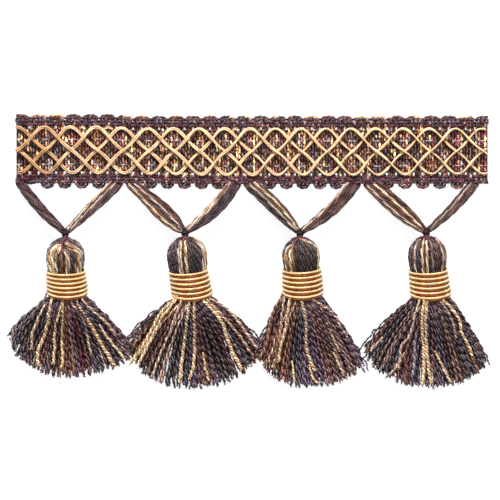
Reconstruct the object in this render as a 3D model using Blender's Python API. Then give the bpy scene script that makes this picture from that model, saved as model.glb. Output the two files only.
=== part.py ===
"""A length of tassel fringe trim, lying face up on a flat surface.

A woven heading braid with looped edges carries four gimp cords, laid over it in crossing waves.
Four tassels hang from its lower edge. Each hangs on two bundles of yarn that meet in a thread knot
above its head, a wound collar binds its neck, and its skirt fans out below the collar in locks.

Frame: +X runs along the heading, +Y across it and away from the tassels, +Z up. The origin is the
middle of the heading's back, which lies on the surface at z = 0.
"""

import math
import random
from collections import namedtuple

import bmesh
import bpy
from mathutils import Matrix, Vector

MM = 0.001
GAP = 0.3 * MM  # between neighbouring pieces

# Heading braid. Weft loops make the edges: the lower loops stand half a pitch from the upper ones.
HEADING_LENGTH = 170.0 * MM
PICOT_PITCH = HEADING_LENGTH / 27.5
PICOT_REACH = 1.7 * MM
PICOT_HALF_SHARE = 0.42  # half of a loop's width, as a share of the pitch
UPPER_PICOT_PHASE = 0.25
LOWER_PICOT_PHASE = 0.75
STATIONS_PER_PICOT = 4
BORDER_INNER = 9.4 * MM
BORDER_OUTER = 12.0 * MM
BORDER_SLOPE = 0.6 * MM
BORDER_THICKNESS = 2.5 * MM
PICOT_THICKNESS = 1.5 * MM
GROUND_THICKNESS = 1.5 * MM
RIB_RISE = 0.15 * MM

# Gimp cords: rounded triangle waves, a quarter of a wave apart.
CREST_PITCH = 9.29 * MM
FIRST_CREST = -84.1 * MM
WAVE_REACH = 8.4 * MM
WAVE_FIRST = 0.887  # shares of the first and third harmonics in the wave
WAVE_THIRD = 0.113
WAVE_LEAN = 0.055  # sideways slope of the crests and troughs
CORD_WIDTH = 1.5 * MM
CORD_HEIGHT = 1.0 * MM
CORD_SIDES = 6
CORD_COUNT = 4
STACK_ORDER = (0, 3, 1, 2)  # how high each cord lies where two cross
RINGS_PER_EIGHTH = 2
CORD_LOW = GROUND_THICKNESS + RIB_RISE + GAP + CORD_HEIGHT / 2
CORD_STEP = CORD_HEIGHT + 1.5 * GAP  # how far a cord climbs over another

# Tassels, measured down the axis from the head's top.
AXIS_HEIGHT = 7.1 * MM
HEAD_LENGTH = 12.0 * MM
DOME_SHARE = 0.6  # share of the head's length in its dome
DOME_STEPS = 5
HEAD_WAIST = (0.85, 0.97)  # shares of the head's length and radius where it begins to draw in
HEAD_FOOT = 0.9  # share of its radius at the collar
COLLAR_LENGTH = 8.6 * MM
NECK_TOP_RADIUS = 5.5 * MM
NECK_END_RADIUS = 6.2 * MM
FLARE_RADIUS = 7.2 * MM  # the yarns spread where the collar lets them go
FLARE_LENGTH = 0.9 * MM
CORE_LENGTH = 23.4 * MM
TURN_STEPS = 16

# Collar: six turns of cord that lean further forward the lower they lie.
COLLAR_TURNS = 6
COLLAR_WALL = 1.25 * MM
COLLAR_GROOVE = 0.35 * MM
SLANT_TOP = 0.20
SLANT_END = 0.30

# Thread knot that ties a tassel's two bundles together.
KNOT_HALF_WIDTH = 1.8 * MM
KNOT_HALF_LENGTH = 1.0 * MM
KNOT_RINGS = 5
KNOT_SEGMENTS = 10

# Yarn bundles between the heading and the knots.
BUNDLE_ROOT_HEIGHT = 1.5 * MM
BUNDLE_KNOT_WIDTH = 3.4 * MM
BUNDLE_ROOT_THICKNESS = 2.3 * MM
BUNDLE_KNOT_THICKNESS = 2.2 * MM
BUNDLE_LOBES = 3
BUNDLE_LOBE_DEPTH = 0.13
BUNDLE_POINTS = 9
BUNDLE_STATIONS = 10
BUNDLE_TWIST = math.radians(150)
BUNDLE_STOP = KNOT_HALF_WIDTH + 0.5 * MM  # from the knot's middle

# Skirt locks: three-sided, with a level base.
LOCK_ROOT_WIDTH = 0.42 * MM
LOCK_HEM_WIDTH = 2.3 * MM
LOCK_HEM_HEIGHT = 1.5 * MM
LOCK_ROOT_DEPTH = 21.8 * MM
LOCK_EXIT_DEPTH = 22.6 * MM
LOCK_STATIONS = 3
LOCK_LANDING = 0.7  # share of its length after which a lock lies level
LOCK_START_SPREAD = 1.15  # a lock leaves the collar wider than its chord and ends steeper
LOCK_END_SPREAD = 0.7
LOCK_LENGTH_JITTER = 0.04

Tassel = namedtuple(
    "Tassel", "x y head_radius lean skirt fan_left fan_right side_left side_right seed"
)
TASSELS = (
    # x and y of the head's top, head radius, lean, skirt length in the middle, half fans in degrees,
    # length of the outermost locks as shares of the middle one, seed
    Tassel(-66.9 * MM, -31.4 * MM, 6.95 * MM, 0.7, 27.4 * MM, 47, 38, 0.69, 0.80, 1),
    Tassel(-23.9 * MM, -31.3 * MM, 7.5 * MM, 4.5, 31.5 * MM, 51, 38, 0.67, 0.71, 2),
    Tassel(17.2 * MM, -31.4 * MM, 6.95 * MM, 2.6, 31.0 * MM, 31, 30, 0.60, 0.92, 3),
    Tassel(62.5 * MM, -31.1 * MM, 7.25 * MM, 2.5, 31.3 * MM, 39, 28, 0.73, 0.84, 4),
)

Row = namedtuple("Row", "locks root_rise hem_height fan length")
SKIRT_ROWS = (
    # locks, root height over the axis, hem height, share of the fan, share of the length
    Row(14, -5.2 * MM, 0.0 * MM, 0.96, 0.97),
    Row(15, -2.0 * MM, 1.9 * MM, 1.00, 1.00),
    Row(14, 1.3 * MM, 3.8 * MM, 0.92, 0.98),
    Row(11, 4.6 * MM, 5.7 * MM, 0.78, 0.93),
)

Bundle = namedtuple("Bundle", "tassel side root_x root_width middle_width bow")
BUNDLES = (
    # tassel, side, where it leaves the heading, widths there and halfway, bow towards the hem
    Bundle(0, -1, -82.0 * MM, 3.4 * MM, 3.4 * MM, 1.4 * MM),
    Bundle(0, 1, -48.5 * MM, 4.2 * MM, 3.5 * MM, 0.0 * MM),
    Bundle(1, -1, -43.3 * MM, 4.6 * MM, 6.0 * MM, 0.0 * MM),
    Bundle(1, 1, -6.0 * MM, 3.8 * MM, 3.9 * MM, 1.1 * MM),
    Bundle(2, -1, -0.9 * MM, 4.4 * MM, 4.7 * MM, 0.0 * MM),
    Bundle(2, 1, 36.9 * MM, 4.2 * MM, 4.0 * MM, 0.6 * MM),
    Bundle(3, -1, 42.6 * MM, 4.8 * MM, 5.6 * MM, 0.9 * MM),
    Bundle(3, 1, 79.8 * MM, 3.6 * MM, 3.0 * MM, 0.7 * MM),
)
PICOTS_PER_TASSEL = 7
BARE_PICOTS = (5, 6)  # of every seven lower loops, these two run on as a tassel's bundles

Finish = namedtuple("Finish", "name colour roughness")
DARK_YARN = Finish("dark_yarn", (0.075, 0.050, 0.070), 0.65)
MIXED_YARN = Finish("mixed_yarn", (0.110, 0.075, 0.075), 0.65)
GOLD_CORD = Finish("gold_cord", (0.640, 0.400, 0.190), 0.45)
PLUM_THREAD = Finish("plum_thread", (0.120, 0.030, 0.050), 0.60)


def clear_scene():
    """Empties the scene."""
    for obj in list(bpy.data.objects):
        bpy.data.objects.remove(obj)


def material_of(finish):
    """The finish's Principled material, made once."""
    found = bpy.data.materials.get(finish.name)
    if found:
        return found
    material = bpy.data.materials.new(finish.name)
    material.use_nodes = True
    shader = material.node_tree.nodes["Principled BSDF"]
    shader.inputs["Base Color"].default_value = (*finish.colour, 1.0)
    shader.inputs["Roughness"].default_value = finish.roughness
    shader.inputs["Metallic"].default_value = 0.0
    return material


def add_object(name, bm, finish):
    """Turns a bmesh into a named object with its finish."""
    bmesh.ops.recalc_face_normals(bm, faces=bm.faces)
    mesh = bpy.data.meshes.new(name)
    bm.to_mesh(mesh)
    bm.free()
    mesh.materials.append(material_of(finish))
    mesh.shade_smooth()
    mesh.set_sharp_from_angle(angle=math.radians(50))
    obj = bpy.data.objects.new(name, mesh)
    bpy.context.scene.collection.objects.link(obj)
    return obj


def sweep(bm, rings):
    """Carries a face along a list of rings with the same number of points, closed at both ends."""
    start = bm.faces.new([bm.verts.new(point) for point in rings[0]])
    end = start
    for ring in rings[1:]:
        made = bmesh.ops.extrude_face_region(bm, geom=[end])
        if end is not start:
            bm.faces.remove(end)
        end = next(item for item in made["geom"] if isinstance(item, bmesh.types.BMFace))
        for vert, point in zip(end.verts, ring):
            vert.co = point


def framed_ring(path, index, section):
    """A section of (side, up) points, set square to a path at one of its points."""
    ahead = path[min(index + 1, len(path) - 1)]
    behind = path[max(index - 1, 0)]
    tangent = (ahead - behind).normalized()
    side = tangent.cross(Vector((0, 0, 1))).normalized()
    up = side.cross(tangent)
    return [path[index] + side * across + up * rise for across, rise in section]


def turned(profile):
    """A closed solid turned about the tassel's axis, from (depth, radius) points in a closed loop."""
    bm = bmesh.new()
    verts = [bm.verts.new((0, -depth, AXIS_HEIGHT + radius)) for depth, radius in profile]
    edges = [bm.edges.new((a, b)) for a, b in zip(verts, verts[1:])]
    if profile[0][1] > 0:
        edges.append(bm.edges.new((verts[-1], verts[0])))
    centre = (0, 0, AXIS_HEIGHT)
    bmesh.ops.spin(
        bm, geom=verts + edges, cent=centre, axis=(0, 1, 0), angle=math.tau, steps=TURN_STEPS,
        use_merge=True,
    )
    bmesh.ops.remove_doubles(bm, verts=bm.verts, dist=0.01 * MM)
    return bm


def slant(depth):
    """How far the rings at this depth lean forward: more from the head's top to the collar's end."""
    if depth < HEAD_LENGTH:
        return SLANT_TOP * (depth / HEAD_LENGTH) ** 2
    share = min((depth - HEAD_LENGTH) / COLLAR_LENGTH, 1.0)
    return SLANT_TOP + (SLANT_END - SLANT_TOP) * share


def settle(bm):
    """Leans a turned piece's rings forward, and flattens what would sink below the surface."""
    for vert in bm.verts:
        vert.co.z = max(vert.co.z, 0.0)
        vert.co.y -= slant(-vert.co.y) * (vert.co.z - AXIS_HEIGHT)


# Heading


def picot_reach(x, phase, is_bare):
    """How far the loop at x stands out of the border's edge."""
    place = (x + HEADING_LENGTH / 2) / PICOT_PITCH - phase
    index = round(place)
    share = abs(place - index) / PICOT_HALF_SHARE
    if share >= 1 or is_bare(index):
        return 0.0
    return PICOT_REACH * math.sqrt(1 - share**2)


def is_bundle_place(index):
    """True where a lower loop runs on as a bundle, and so makes no picot."""
    return index % PICOTS_PER_TASSEL in BARE_PICOTS or index <= 0


def heading_section(x):
    """The heading's upper outline at x: (y, z) from the lower edge to the upper one."""
    place = (x + HEADING_LENGTH / 2) / PICOT_PITCH
    ground = GROUND_THICKNESS + RIB_RISE * math.cos(2 * math.tau * place)
    lower = BORDER_OUTER + picot_reach(x, LOWER_PICOT_PHASE, is_bundle_place)
    upper = BORDER_OUTER + picot_reach(x, UPPER_PICOT_PHASE, lambda index: False)
    crest = BORDER_OUTER - BORDER_SLOPE
    rise = BORDER_INNER + BORDER_SLOPE
    return [
        (-lower, PICOT_THICKNESS),
        (-crest, BORDER_THICKNESS),
        (-rise, BORDER_THICKNESS),
        (-BORDER_INNER, ground),
        (BORDER_INNER, ground),
        (rise, BORDER_THICKNESS),
        (crest, BORDER_THICKNESS),
        (upper, PICOT_THICKNESS),
    ]


def build_heading():
    """The woven heading: a ribbed ground between two raised borders with looped edges."""
    stations = round(HEADING_LENGTH / PICOT_PITCH * STATIONS_PER_PICOT)
    rows = len(heading_section(0.0))
    bm = bmesh.new()
    bmesh.ops.create_grid(bm, x_segments=stations, y_segments=rows - 1, size=1.0)
    for vert in bm.verts:
        x = vert.co.x * HEADING_LENGTH / 2
        row = round((vert.co.y + 1) / 2 * (rows - 1))
        vert.co = Vector((x, *heading_section(x)[row]))
    rim = [edge for edge in bm.edges if edge.is_boundary]
    made = bmesh.ops.extrude_edge_only(bm, edges=rim)["geom"]
    for vert in (item for item in made if isinstance(item, bmesh.types.BMVert)):
        vert.co.z = 0.0
    base = [item for item in made if isinstance(item, bmesh.types.BMEdge) and item.is_boundary]
    bmesh.ops.contextual_create(bm, geom=base)
    add_object("heading", bm, DARK_YARN)


# Gimp cords


def wave(angle):
    """The cord's swing at a phase angle, from -1 to 1."""
    return WAVE_FIRST * math.cos(angle) + WAVE_THIRD * math.cos(3 * angle)


def crossing_rank(cord, eighth):
    """1 where the cord lies over the one it crosses at this eighth of its wave, else 0."""
    if eighth % 4 == 0:
        return 0
    other = (cord + eighth % 4) % CORD_COUNT
    return int(STACK_ORDER[cord] > STACK_ORDER[other])


def cord_height(cord, angle):
    """The height of the cord's middle: it climbs over the cords that it crosses."""
    eighths = angle / (math.tau / 8)
    before = math.floor(eighths)
    share = (1 - math.cos(math.pi * (eighths - before))) / 2
    start = crossing_rank(cord, before % 8)
    end = crossing_rank(cord, (before + 1) % 8)
    return CORD_LOW + CORD_STEP * (start + (end - start) * share)


def build_cord(cord):
    """One gimp cord, from end to end of the heading."""
    step = CREST_PITCH * CORD_COUNT / 8 / RINGS_PER_EIGHTH
    first_ring = FIRST_CREST + cord * CREST_PITCH
    before = math.floor((first_ring + HEADING_LENGTH / 2) / step)
    path = []
    x = first_ring - before * step
    while x < HEADING_LENGTH / 2:
        angle = (x - first_ring) / CREST_PITCH * math.tau / CORD_COUNT
        y = WAVE_REACH * wave(angle)
        path.append(Vector((x - WAVE_LEAN * y, y, cord_height(cord, angle))))
        x += step
    ring = [math.tau * i / CORD_SIDES for i in range(CORD_SIDES)]
    section = [(CORD_WIDTH / 2 * math.cos(a), CORD_HEIGHT / 2 * math.sin(a)) for a in ring]
    bm = bmesh.new()
    sweep(bm, [framed_ring(path, index, section) for index in range(len(path))])
    add_object(f"gimp_cord_{cord + 1}", bm, GOLD_CORD)


# Tassels


def place_at(obj, tassel):
    """Moves an object from the tassel's own frame to its place under the heading."""
    obj.location = (tassel.x, tassel.y, 0)
    obj.rotation_euler.z = math.radians(tassel.lean)


def neck_radius(depth):
    """The bound neck's radius, which opens towards the skirt."""
    share = (depth - HEAD_LENGTH) / COLLAR_LENGTH
    return NECK_TOP_RADIUS + (NECK_END_RADIUS - NECK_TOP_RADIUS) * share


def core_profile(head_radius):
    """(depth, radius) down the head and the neck, as far as the locks' roots."""
    dome = [math.pi / 2 * step / DOME_STEPS for step in range(1, DOME_STEPS + 1)]
    dome_length = DOME_SHARE * HEAD_LENGTH
    waist_depth, waist_width = HEAD_WAIST
    profile = [(0.0, 0.0)]
    profile += [(dome_length * (1 - math.cos(a)), head_radius * math.sin(a)) for a in dome]
    profile += [(waist_depth * HEAD_LENGTH, waist_width * head_radius)]
    profile += [(HEAD_LENGTH - GAP, HEAD_FOOT * head_radius)]
    profile += [(HEAD_LENGTH, neck_radius(HEAD_LENGTH))]
    neck_end = HEAD_LENGTH + COLLAR_LENGTH + GAP
    profile += [(neck_end, neck_radius(neck_end)), (neck_end + FLARE_LENGTH, FLARE_RADIUS)]
    profile += [(CORE_LENGTH, FLARE_RADIUS), (CORE_LENGTH, 0.0)]
    return profile


def lock_path(tassel, row, share, length):
    """The base line of a lock at a share (-1 to 1) across its row, from its root to the hem."""
    chord = math.sqrt(FLARE_RADIUS**2 - row.root_rise**2) - 2 * LOCK_ROOT_WIDTH
    fan = math.radians(tassel.fan_right if share > 0 else tassel.fan_left)
    angle = fan * row.fan * share
    side = tassel.side_right if share > 0 else tassel.side_left
    length *= 1 - (1 - side) * abs(share) ** 3
    slanted = SLANT_END * row.root_rise
    root = Vector((chord * share, -LOCK_ROOT_DEPTH - slanted, AXIS_HEIGHT + row.root_rise))
    leave = Vector((root.x, -LOCK_EXIT_DEPTH - slanted, root.z))
    hem = leave + length * Vector((math.sin(angle), -math.cos(angle), 0))
    start = Vector((math.sin(LOCK_START_SPREAD * angle), -math.cos(LOCK_START_SPREAD * angle), 0))
    end = Vector((math.sin(LOCK_END_SPREAD * angle), -math.cos(LOCK_END_SPREAD * angle), 0))
    path = [root]
    for index in range(LOCK_STATIONS + 1):
        t = index / LOCK_STATIONS
        weights = ((1 - t) ** 3, 3 * t * (1 - t) ** 2, 3 * t**2 * (1 - t), t**3)
        knots = (leave, leave + start * length / 3, hem - end * length / 3, hem)
        point = sum((knot * weight for knot, weight in zip(knots, weights)), Vector())
        fall = min(t / LOCK_LANDING, 1.0)
        settle = fall * fall * (3 - 2 * fall)
        point.z = root.z + (row.hem_height - root.z) * settle
        path.append(point)
    return path


def add_lock(bm, path):
    """One three-sided lock on its base line, wider and higher from where it leaves the core."""
    rings = []
    for index in range(len(path)):
        share = max(index - 1, 0) / LOCK_STATIONS
        width = LOCK_ROOT_WIDTH + (LOCK_HEM_WIDTH - LOCK_ROOT_WIDTH) * share
        height = LOCK_ROOT_WIDTH + (LOCK_HEM_HEIGHT - LOCK_ROOT_WIDTH) * share
        ahead = path[min(index + 1, len(path) - 1)]
        behind = path[max(index - 1, 0)]
        along = Vector((ahead.x - behind.x, ahead.y - behind.y, 0)).normalized()
        side = Vector((-along.y, along.x, 0))
        base = path[index]
        top = base + Vector((0, 0, height))
        rings.append([base - side * width / 2, base + side * width / 2, top])
    sweep(bm, rings)


def build_skirt_locks(tassel, name):
    """The skirt's locks as a hidden helper, which the tassel's core is joined to."""
    shuffle = random.Random(tassel.seed)
    bm = bmesh.new()
    for row in SKIRT_ROWS:
        for index in range(row.locks):
            share = 2 * (index + 0.5) / row.locks - 1
            jitter = shuffle.uniform(-LOCK_LENGTH_JITTER, LOCK_LENGTH_JITTER)
            length = tassel.skirt * row.length * (1 + jitter)
            add_lock(bm, lock_path(tassel, row, share, length))
    locks = add_object(name + "_locks", bm, MIXED_YARN)
    locks.hide_render = True
    locks.display_type = "WIRE"
    return locks


def build_tassel(tassel, name):
    """Head, bound neck and skirt: one hank of yarn."""
    bm = turned(core_profile(tassel.head_radius))
    settle(bm)
    core = add_object(name, bm, MIXED_YARN)
    locks = build_skirt_locks(tassel, name)
    join = core.modifiers.new("skirt", "BOOLEAN")
    join.operation = "UNION"
    join.use_self = True
    join.object = locks
    place_at(core, tassel)
    place_at(locks, tassel)


def build_collar(tassel, name):
    """The wound collar: six ridges, leaning forward, with a bore that clears the neck."""
    half_turns = 2 * COLLAR_TURNS
    length = COLLAR_LENGTH - GAP
    profile = []
    for index in range(half_turns + 1):
        depth = HEAD_LENGTH + GAP + length * index / half_turns
        groove = COLLAR_GROOVE if index % 2 == 0 else 0.0
        profile.append((depth, neck_radius(depth) + GAP + COLLAR_WALL - groove))
    for depth in (HEAD_LENGTH + GAP + length, HEAD_LENGTH + GAP):
        profile.append((depth, neck_radius(depth) + GAP))
    bm = turned(profile)
    settle(bm)
    place_at(add_object(name, bm, GOLD_CORD), tassel)


def knot_centre(tassel):
    """The middle of the knot, which sits on the head's top."""
    lean = math.radians(tassel.lean)
    rise = KNOT_HALF_LENGTH + GAP
    return Vector((tassel.x - rise * math.sin(lean), tassel.y + rise * math.cos(lean), AXIS_HEIGHT))


def build_knot(tassel, name):
    """The thread knot between the bundles and the head."""
    bm = bmesh.new()
    bmesh.ops.create_uvsphere(bm, u_segments=KNOT_SEGMENTS, v_segments=KNOT_RINGS, radius=1.0)
    size = Matrix.Diagonal((KNOT_HALF_WIDTH, KNOT_HALF_WIDTH, KNOT_HALF_LENGTH, 1.0))
    turn = Matrix.Rotation(math.radians(90), 4, "X")
    bm.transform(turn @ size)
    knot = add_object(name, bm, PLUM_THREAD)
    knot.location = knot_centre(tassel)
    knot.rotation_euler.z = math.radians(tassel.lean)


# Yarn bundles


def bundle_path(bundle):
    """The bundle's middle line, from the heading's edge to the knot."""
    knot = knot_centre(TASSELS[bundle.tassel])
    root = Vector((bundle.root_x, -BORDER_OUTER - GAP, BUNDLE_ROOT_HEIGHT))
    away = Vector((root.x - knot.x, root.y - knot.y, 0)).normalized()
    end = knot + away * BUNDLE_STOP
    bow = Vector((away.y, -away.x, 0)) * bundle.side * bundle.bow
    path = []
    for index in range(BUNDLE_STATIONS):
        t = index / (BUNDLE_STATIONS - 1)
        path.append(root.lerp(end, t) + bow * math.sin(math.pi * t))
    return path


def bundle_section(bundle, t):
    """(side, up) points of the lobed bundle at a share of its length."""
    width = bundle.root_width * (1 - t) * (1 - 2 * t) + BUNDLE_KNOT_WIDTH * t * (2 * t - 1)
    width += 4 * bundle.middle_width * t * (1 - t)
    thickness = BUNDLE_ROOT_THICKNESS + (BUNDLE_KNOT_THICKNESS - BUNDLE_ROOT_THICKNESS) * t
    section = []
    for index in range(BUNDLE_POINTS):
        angle = math.tau * index / BUNDLE_POINTS
        lobe = 1 - BUNDLE_LOBE_DEPTH * (1 - math.cos(BUNDLE_LOBES * angle + BUNDLE_TWIST * t)) / 2
        section.append((width / 2 * lobe * math.cos(angle), thickness / 2 * lobe * math.sin(angle)))
    return section


def build_bundle(bundle):
    """One bundle of yarn from the heading to its tassel's knot."""
    path = bundle_path(bundle)
    last = len(path) - 1
    rings = [framed_ring(path, i, bundle_section(bundle, i / last)) for i in range(len(path))]
    rings[0] = [Vector((point.x, path[0].y, point.z)) for point in rings[0]]
    bm = bmesh.new()
    sweep(bm, rings)
    hand = "left" if bundle.side < 0 else "right"
    add_object(f"bundle_{bundle.tassel + 1}_{hand}", bm, MIXED_YARN)


def main():
    """Builds the trim."""
    clear_scene()
    build_heading()
    for cord in range(CORD_COUNT):
        build_cord(cord)
    for number, tassel in enumerate(TASSELS, start=1):
        build_tassel(tassel, f"tassel_{number}")
        build_collar(tassel, f"collar_{number}")
        build_knot(tassel, f"knot_{number}")
    for bundle in BUNDLES:
        build_bundle(bundle)


main()
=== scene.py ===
"""The looks of a length of tassel fringe trim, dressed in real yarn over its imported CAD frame.

A woven heading braid with looped edges carries four gold gimp cords. Bundles of mixed yarn leave
its lower edge in pairs and meet in wound knots, and from each knot hangs a tassel: a head of yarn
laid over a core, a wound collar, and a skirt of two-ply yarns that fans out over the surface.

Every yarn is a line of points, twisted into plies, swept round and closed at both ends. Sizes are
in metres, in the CAD's own frame: +X along the heading, +Y away from the tassels, +Z up.
"""

import logging
import math
import random
from dataclasses import dataclass, field, replace
from enum import Enum

import bmesh
import bpy
import numpy as np
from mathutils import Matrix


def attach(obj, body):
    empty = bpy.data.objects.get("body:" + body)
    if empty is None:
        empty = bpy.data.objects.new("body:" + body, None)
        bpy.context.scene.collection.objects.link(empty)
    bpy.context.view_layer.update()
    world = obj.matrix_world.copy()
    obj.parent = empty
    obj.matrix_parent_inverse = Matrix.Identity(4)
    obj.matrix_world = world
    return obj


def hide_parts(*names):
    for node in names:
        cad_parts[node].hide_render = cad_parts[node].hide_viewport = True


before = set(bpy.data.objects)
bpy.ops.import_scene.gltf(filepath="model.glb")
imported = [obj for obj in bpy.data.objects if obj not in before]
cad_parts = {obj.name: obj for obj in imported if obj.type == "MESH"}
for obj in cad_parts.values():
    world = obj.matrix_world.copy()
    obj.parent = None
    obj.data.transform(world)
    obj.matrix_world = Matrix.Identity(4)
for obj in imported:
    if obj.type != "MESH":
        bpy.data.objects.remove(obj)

MM = 0.001
TAU = math.tau
UP = (0.0, 0.0, 1.0)
LOG = logging.getLogger("tassel_fringe")
HEADING_SEED, GIMP_SEED, TASSEL_SEED, KNOT_SEED, BUNDLE_SEED = 11, 40, 100, 200, 300

Line = np.ndarray  # rows of x, y, z
Amount = np.ndarray | float  # one for all points, or one for each
Colour = tuple[float, float, float]
Pair = tuple[float, float]
Mesh = bpy.types.Mesh
Socket = bpy.types.NodeSocket
Shuffle = random.Random


# Colours


def to_linear(shade: Colour) -> np.ndarray:
    """A colour of 0 to 255 display values as linear light."""
    share = np.array(shade, float) / 255.0
    return np.where(share <= 0.04045, share / 12.92, ((share + 0.055) / 1.055) ** 2.4)


class Tone(Enum):
    """The dyed yarns: the colour of the first ply, and of the paler second one, which is partly its own dye
    and partly a painted highlight of the plies' sheen.
    """

    BLACK = ((24, 13, 9), (108, 86, 74))
    NAVY = ((26, 19, 25), (124, 110, 118))
    VIOLET = ((46, 27, 46), (138, 114, 133))
    PLUM = ((60, 25, 26), (150, 106, 102))
    MAUVE = ((86, 52, 52), (182, 146, 136))
    LILAC = ((92, 82, 92), (198, 186, 196))
    RUST = ((86, 50, 30), (184, 134, 94))
    ROSE = ((140, 98, 82), (240, 212, 188))
    GOLD = ((184, 132, 78), (255, 238, 202))
    CREAM = ((214, 180, 134), (254, 240, 212))
    WINE = ((70, 20, 32), (130, 62, 74))
    PEARL = ((140, 134, 136), (218, 212, 210))
    SHELL = ((150, 116, 98), (232, 204, 180))

    def ply(self, number: int, spread: float = 1.0) -> np.ndarray:
        """One ply's linear colour: at a spread of 1 the two plies differ in full, at 0 not at all."""
        own, other = to_linear(self.value[number % 2]), to_linear(self.value[1 - number % 2])
        return own * (0.5 + spread / 2) + other * (0.5 - spread / 2)


BLACK, NAVY, VIOLET, PLUM, MAUVE, LILAC, RUST, ROSE, GOLD, CREAM, WINE, PEARL, SHELL = Tone


@dataclass(frozen=True)
class Mix:
    """A weighted choice of yarns, as the twister sets out the cones."""

    shares: dict[Tone, float]

    def pick(self, rng: Shuffle) -> Tone:
        """One tone of the mix."""
        return rng.choices(list(self.shares), list(self.shares.values()))[0]


DARK_MIX = Mix({NAVY: 5, BLACK: 3, PLUM: 3, MAUVE: 1, VIOLET: 1})
NAVY_MIX = Mix({NAVY: 6, BLACK: 3, VIOLET: 2, PLUM: 1})
PLUM_MIX = Mix({PLUM: 5, MAUVE: 2, NAVY: 2, WINE: 0.7, VIOLET: 2})
RUST_MIX = Mix({RUST: 4, PLUM: 3, BLACK: 3, ROSE: 0.8})
TAN_MIX = Mix({RUST: 3.2, PLUM: 1.2, BLACK: 3, ROSE: 0.8, GOLD: 2.2})
# Pale lilac yarns for the sides of a head: a painted sheen along its rim.
RIM_SHEEN_MIX = Mix({LILAC: 3, MAUVE: 1, NAVY: 1})
SHADE_MIX = Mix({VIOLET: 3, NAVY: 3, MAUVE: 1, PLUM: 1})
BORDER_MIX = Mix({PLUM: 6, NAVY: 2.5, MAUVE: 1.5, BLACK: 1, WINE: 2, VIOLET: 2.5})
WEFT_MIX = Mix({NAVY: 6, BLACK: 4, PLUM: 2.4, MAUVE: 1.2, RUST: 0.5, ROSE: 2.3, CREAM: 1.8, VIOLET: 1})
PICOT_EYE_MIX = Mix({LILAC: 2, MAUVE: 2.5, ROSE: 1, PLUM: 2, WINE: 1, GOLD: 0.3})
PICOT_TIP_MIX = Mix({GOLD: 3, CREAM: 2, ROSE: 1})
PICOT_RIM_MIX = Mix({NAVY: 3, PLUM: 5, MAUVE: 1, WINE: 1.5, RUST: 1})

# What a region's dye and light make of its yarns' tints: shares of red, green and blue.
GROUND_CAST = np.array([1.42, 1.25, 1.02])
BORDER_CAST = np.array([1.04, 0.8, 0.98])
TIP_CAST = np.array([1.1, 1.0, 0.78])
BUNDLE_DIM = np.array([0.36, 0.3, 0.295])
BUNDLE_GLOW = np.array([0.84, 0.88, 0.95])


# Lines


def ease(share: Amount) -> Amount:
    """A smooth step from 0 to 1."""
    share = np.clip(share, 0.0, 1.0)
    return share * share * (3 - 2 * share)


def travelled(points: Line) -> np.ndarray:
    """The distance along a line at each of its points."""
    steps = np.linalg.norm(np.diff(points, axis=0), axis=1)
    return np.concatenate([[0.0], np.cumsum(steps)])


def evenly(points: Line, step: float) -> Line:
    """The same line with its points at even steps.

    Args:
        points: The line.
        step: The distance between its new points.

    Returns:
        The line.
    """
    along = travelled(points)
    count = max(round(along[-1] / step), 2)
    at = np.linspace(0.0, along[-1], count + 1)
    return np.stack([np.interp(at, along, points[:, i]) for i in range(3)], axis=1)


def through(knots: list, step: float) -> Line:
    """A smooth line through a few knots.

    Args:
        knots: The points to pass through.
        step: The distance between the points of the line.

    Returns:
        The line, with even steps.
    """
    held = np.array(knots, float)
    first, last = 2 * held[0] - held[1], 2 * held[-1] - held[-2]
    held = np.vstack([first, held, last])
    share = np.linspace(0, 1, 13)[:-1, None]
    parts = []
    for i in range(1, len(held) - 2):
        a, b, c, d = held[i - 1 : i + 3]
        curve = 2 * b + (c - a) * share + (2 * a - 5 * b + 4 * c - d) * share**2
        parts.append((curve + (3 * b - a - 3 * c + d) * share**3) / 2)
    parts.append(held[-2:-1])
    return evenly(np.vstack(parts), step)


def unit(rows: Line) -> Line:
    """Rows of length one."""
    size = np.linalg.norm(rows, axis=-1, keepdims=True)
    return rows / np.maximum(size, 1e-12)


def square_to(points: Line, up: Line | tuple = UP) -> tuple[Line, Line]:
    """Two directions square to a line at each point.

    Args:
        points: The line.
        up: The direction that is up, for all or for each point.

    Returns:
        The way to its side, and the one nearest to up.
    """
    ahead = unit(np.gradient(points, axis=0))
    side = unit(np.cross(ahead, np.broadcast_to(up, points.shape)))
    return side, np.cross(side, ahead)


def turned(points: Line, degrees: float) -> Line:
    """Points turned about the vertical through the origin.

    Args:
        points: The points.
        degrees: How far they turn.

    Returns:
        The same points, turned.
    """
    turn = math.radians(degrees)
    x = points[:, 0] * math.cos(turn) - points[:, 1] * math.sin(turn)
    y = points[:, 0] * math.sin(turn) + points[:, 1] * math.cos(turn)
    return np.stack([x, y, points[:, 2]], axis=1)


def crinkled(points: Line, amount: float, waves: Pair, rng: Shuffle) -> Line:
    """A line with the soft kinks of yarn that was wound up.

    Args:
        points: The straight line.
        amount: How far the kinks reach.
        waves: The shortest and longest wave of the kinks.
        rng: The shuffle that sets them.

    Returns:
        The line with its kinks, which fade in from its first point.
    """
    along = travelled(points)
    side, rise = square_to(points)
    sway, lift = np.zeros(len(points)), np.zeros(len(points))
    for _ in range(3):
        for track in (sway, lift):
            wave = rng.uniform(*waves)
            track += np.sin(along / wave * TAU + rng.uniform(0, TAU)) / 2.2
    grow = ease(along / (5 * MM))[:, None] * amount
    return points + grow * (side * sway[:, None] + rise * lift[:, None] * 0.6)


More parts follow.
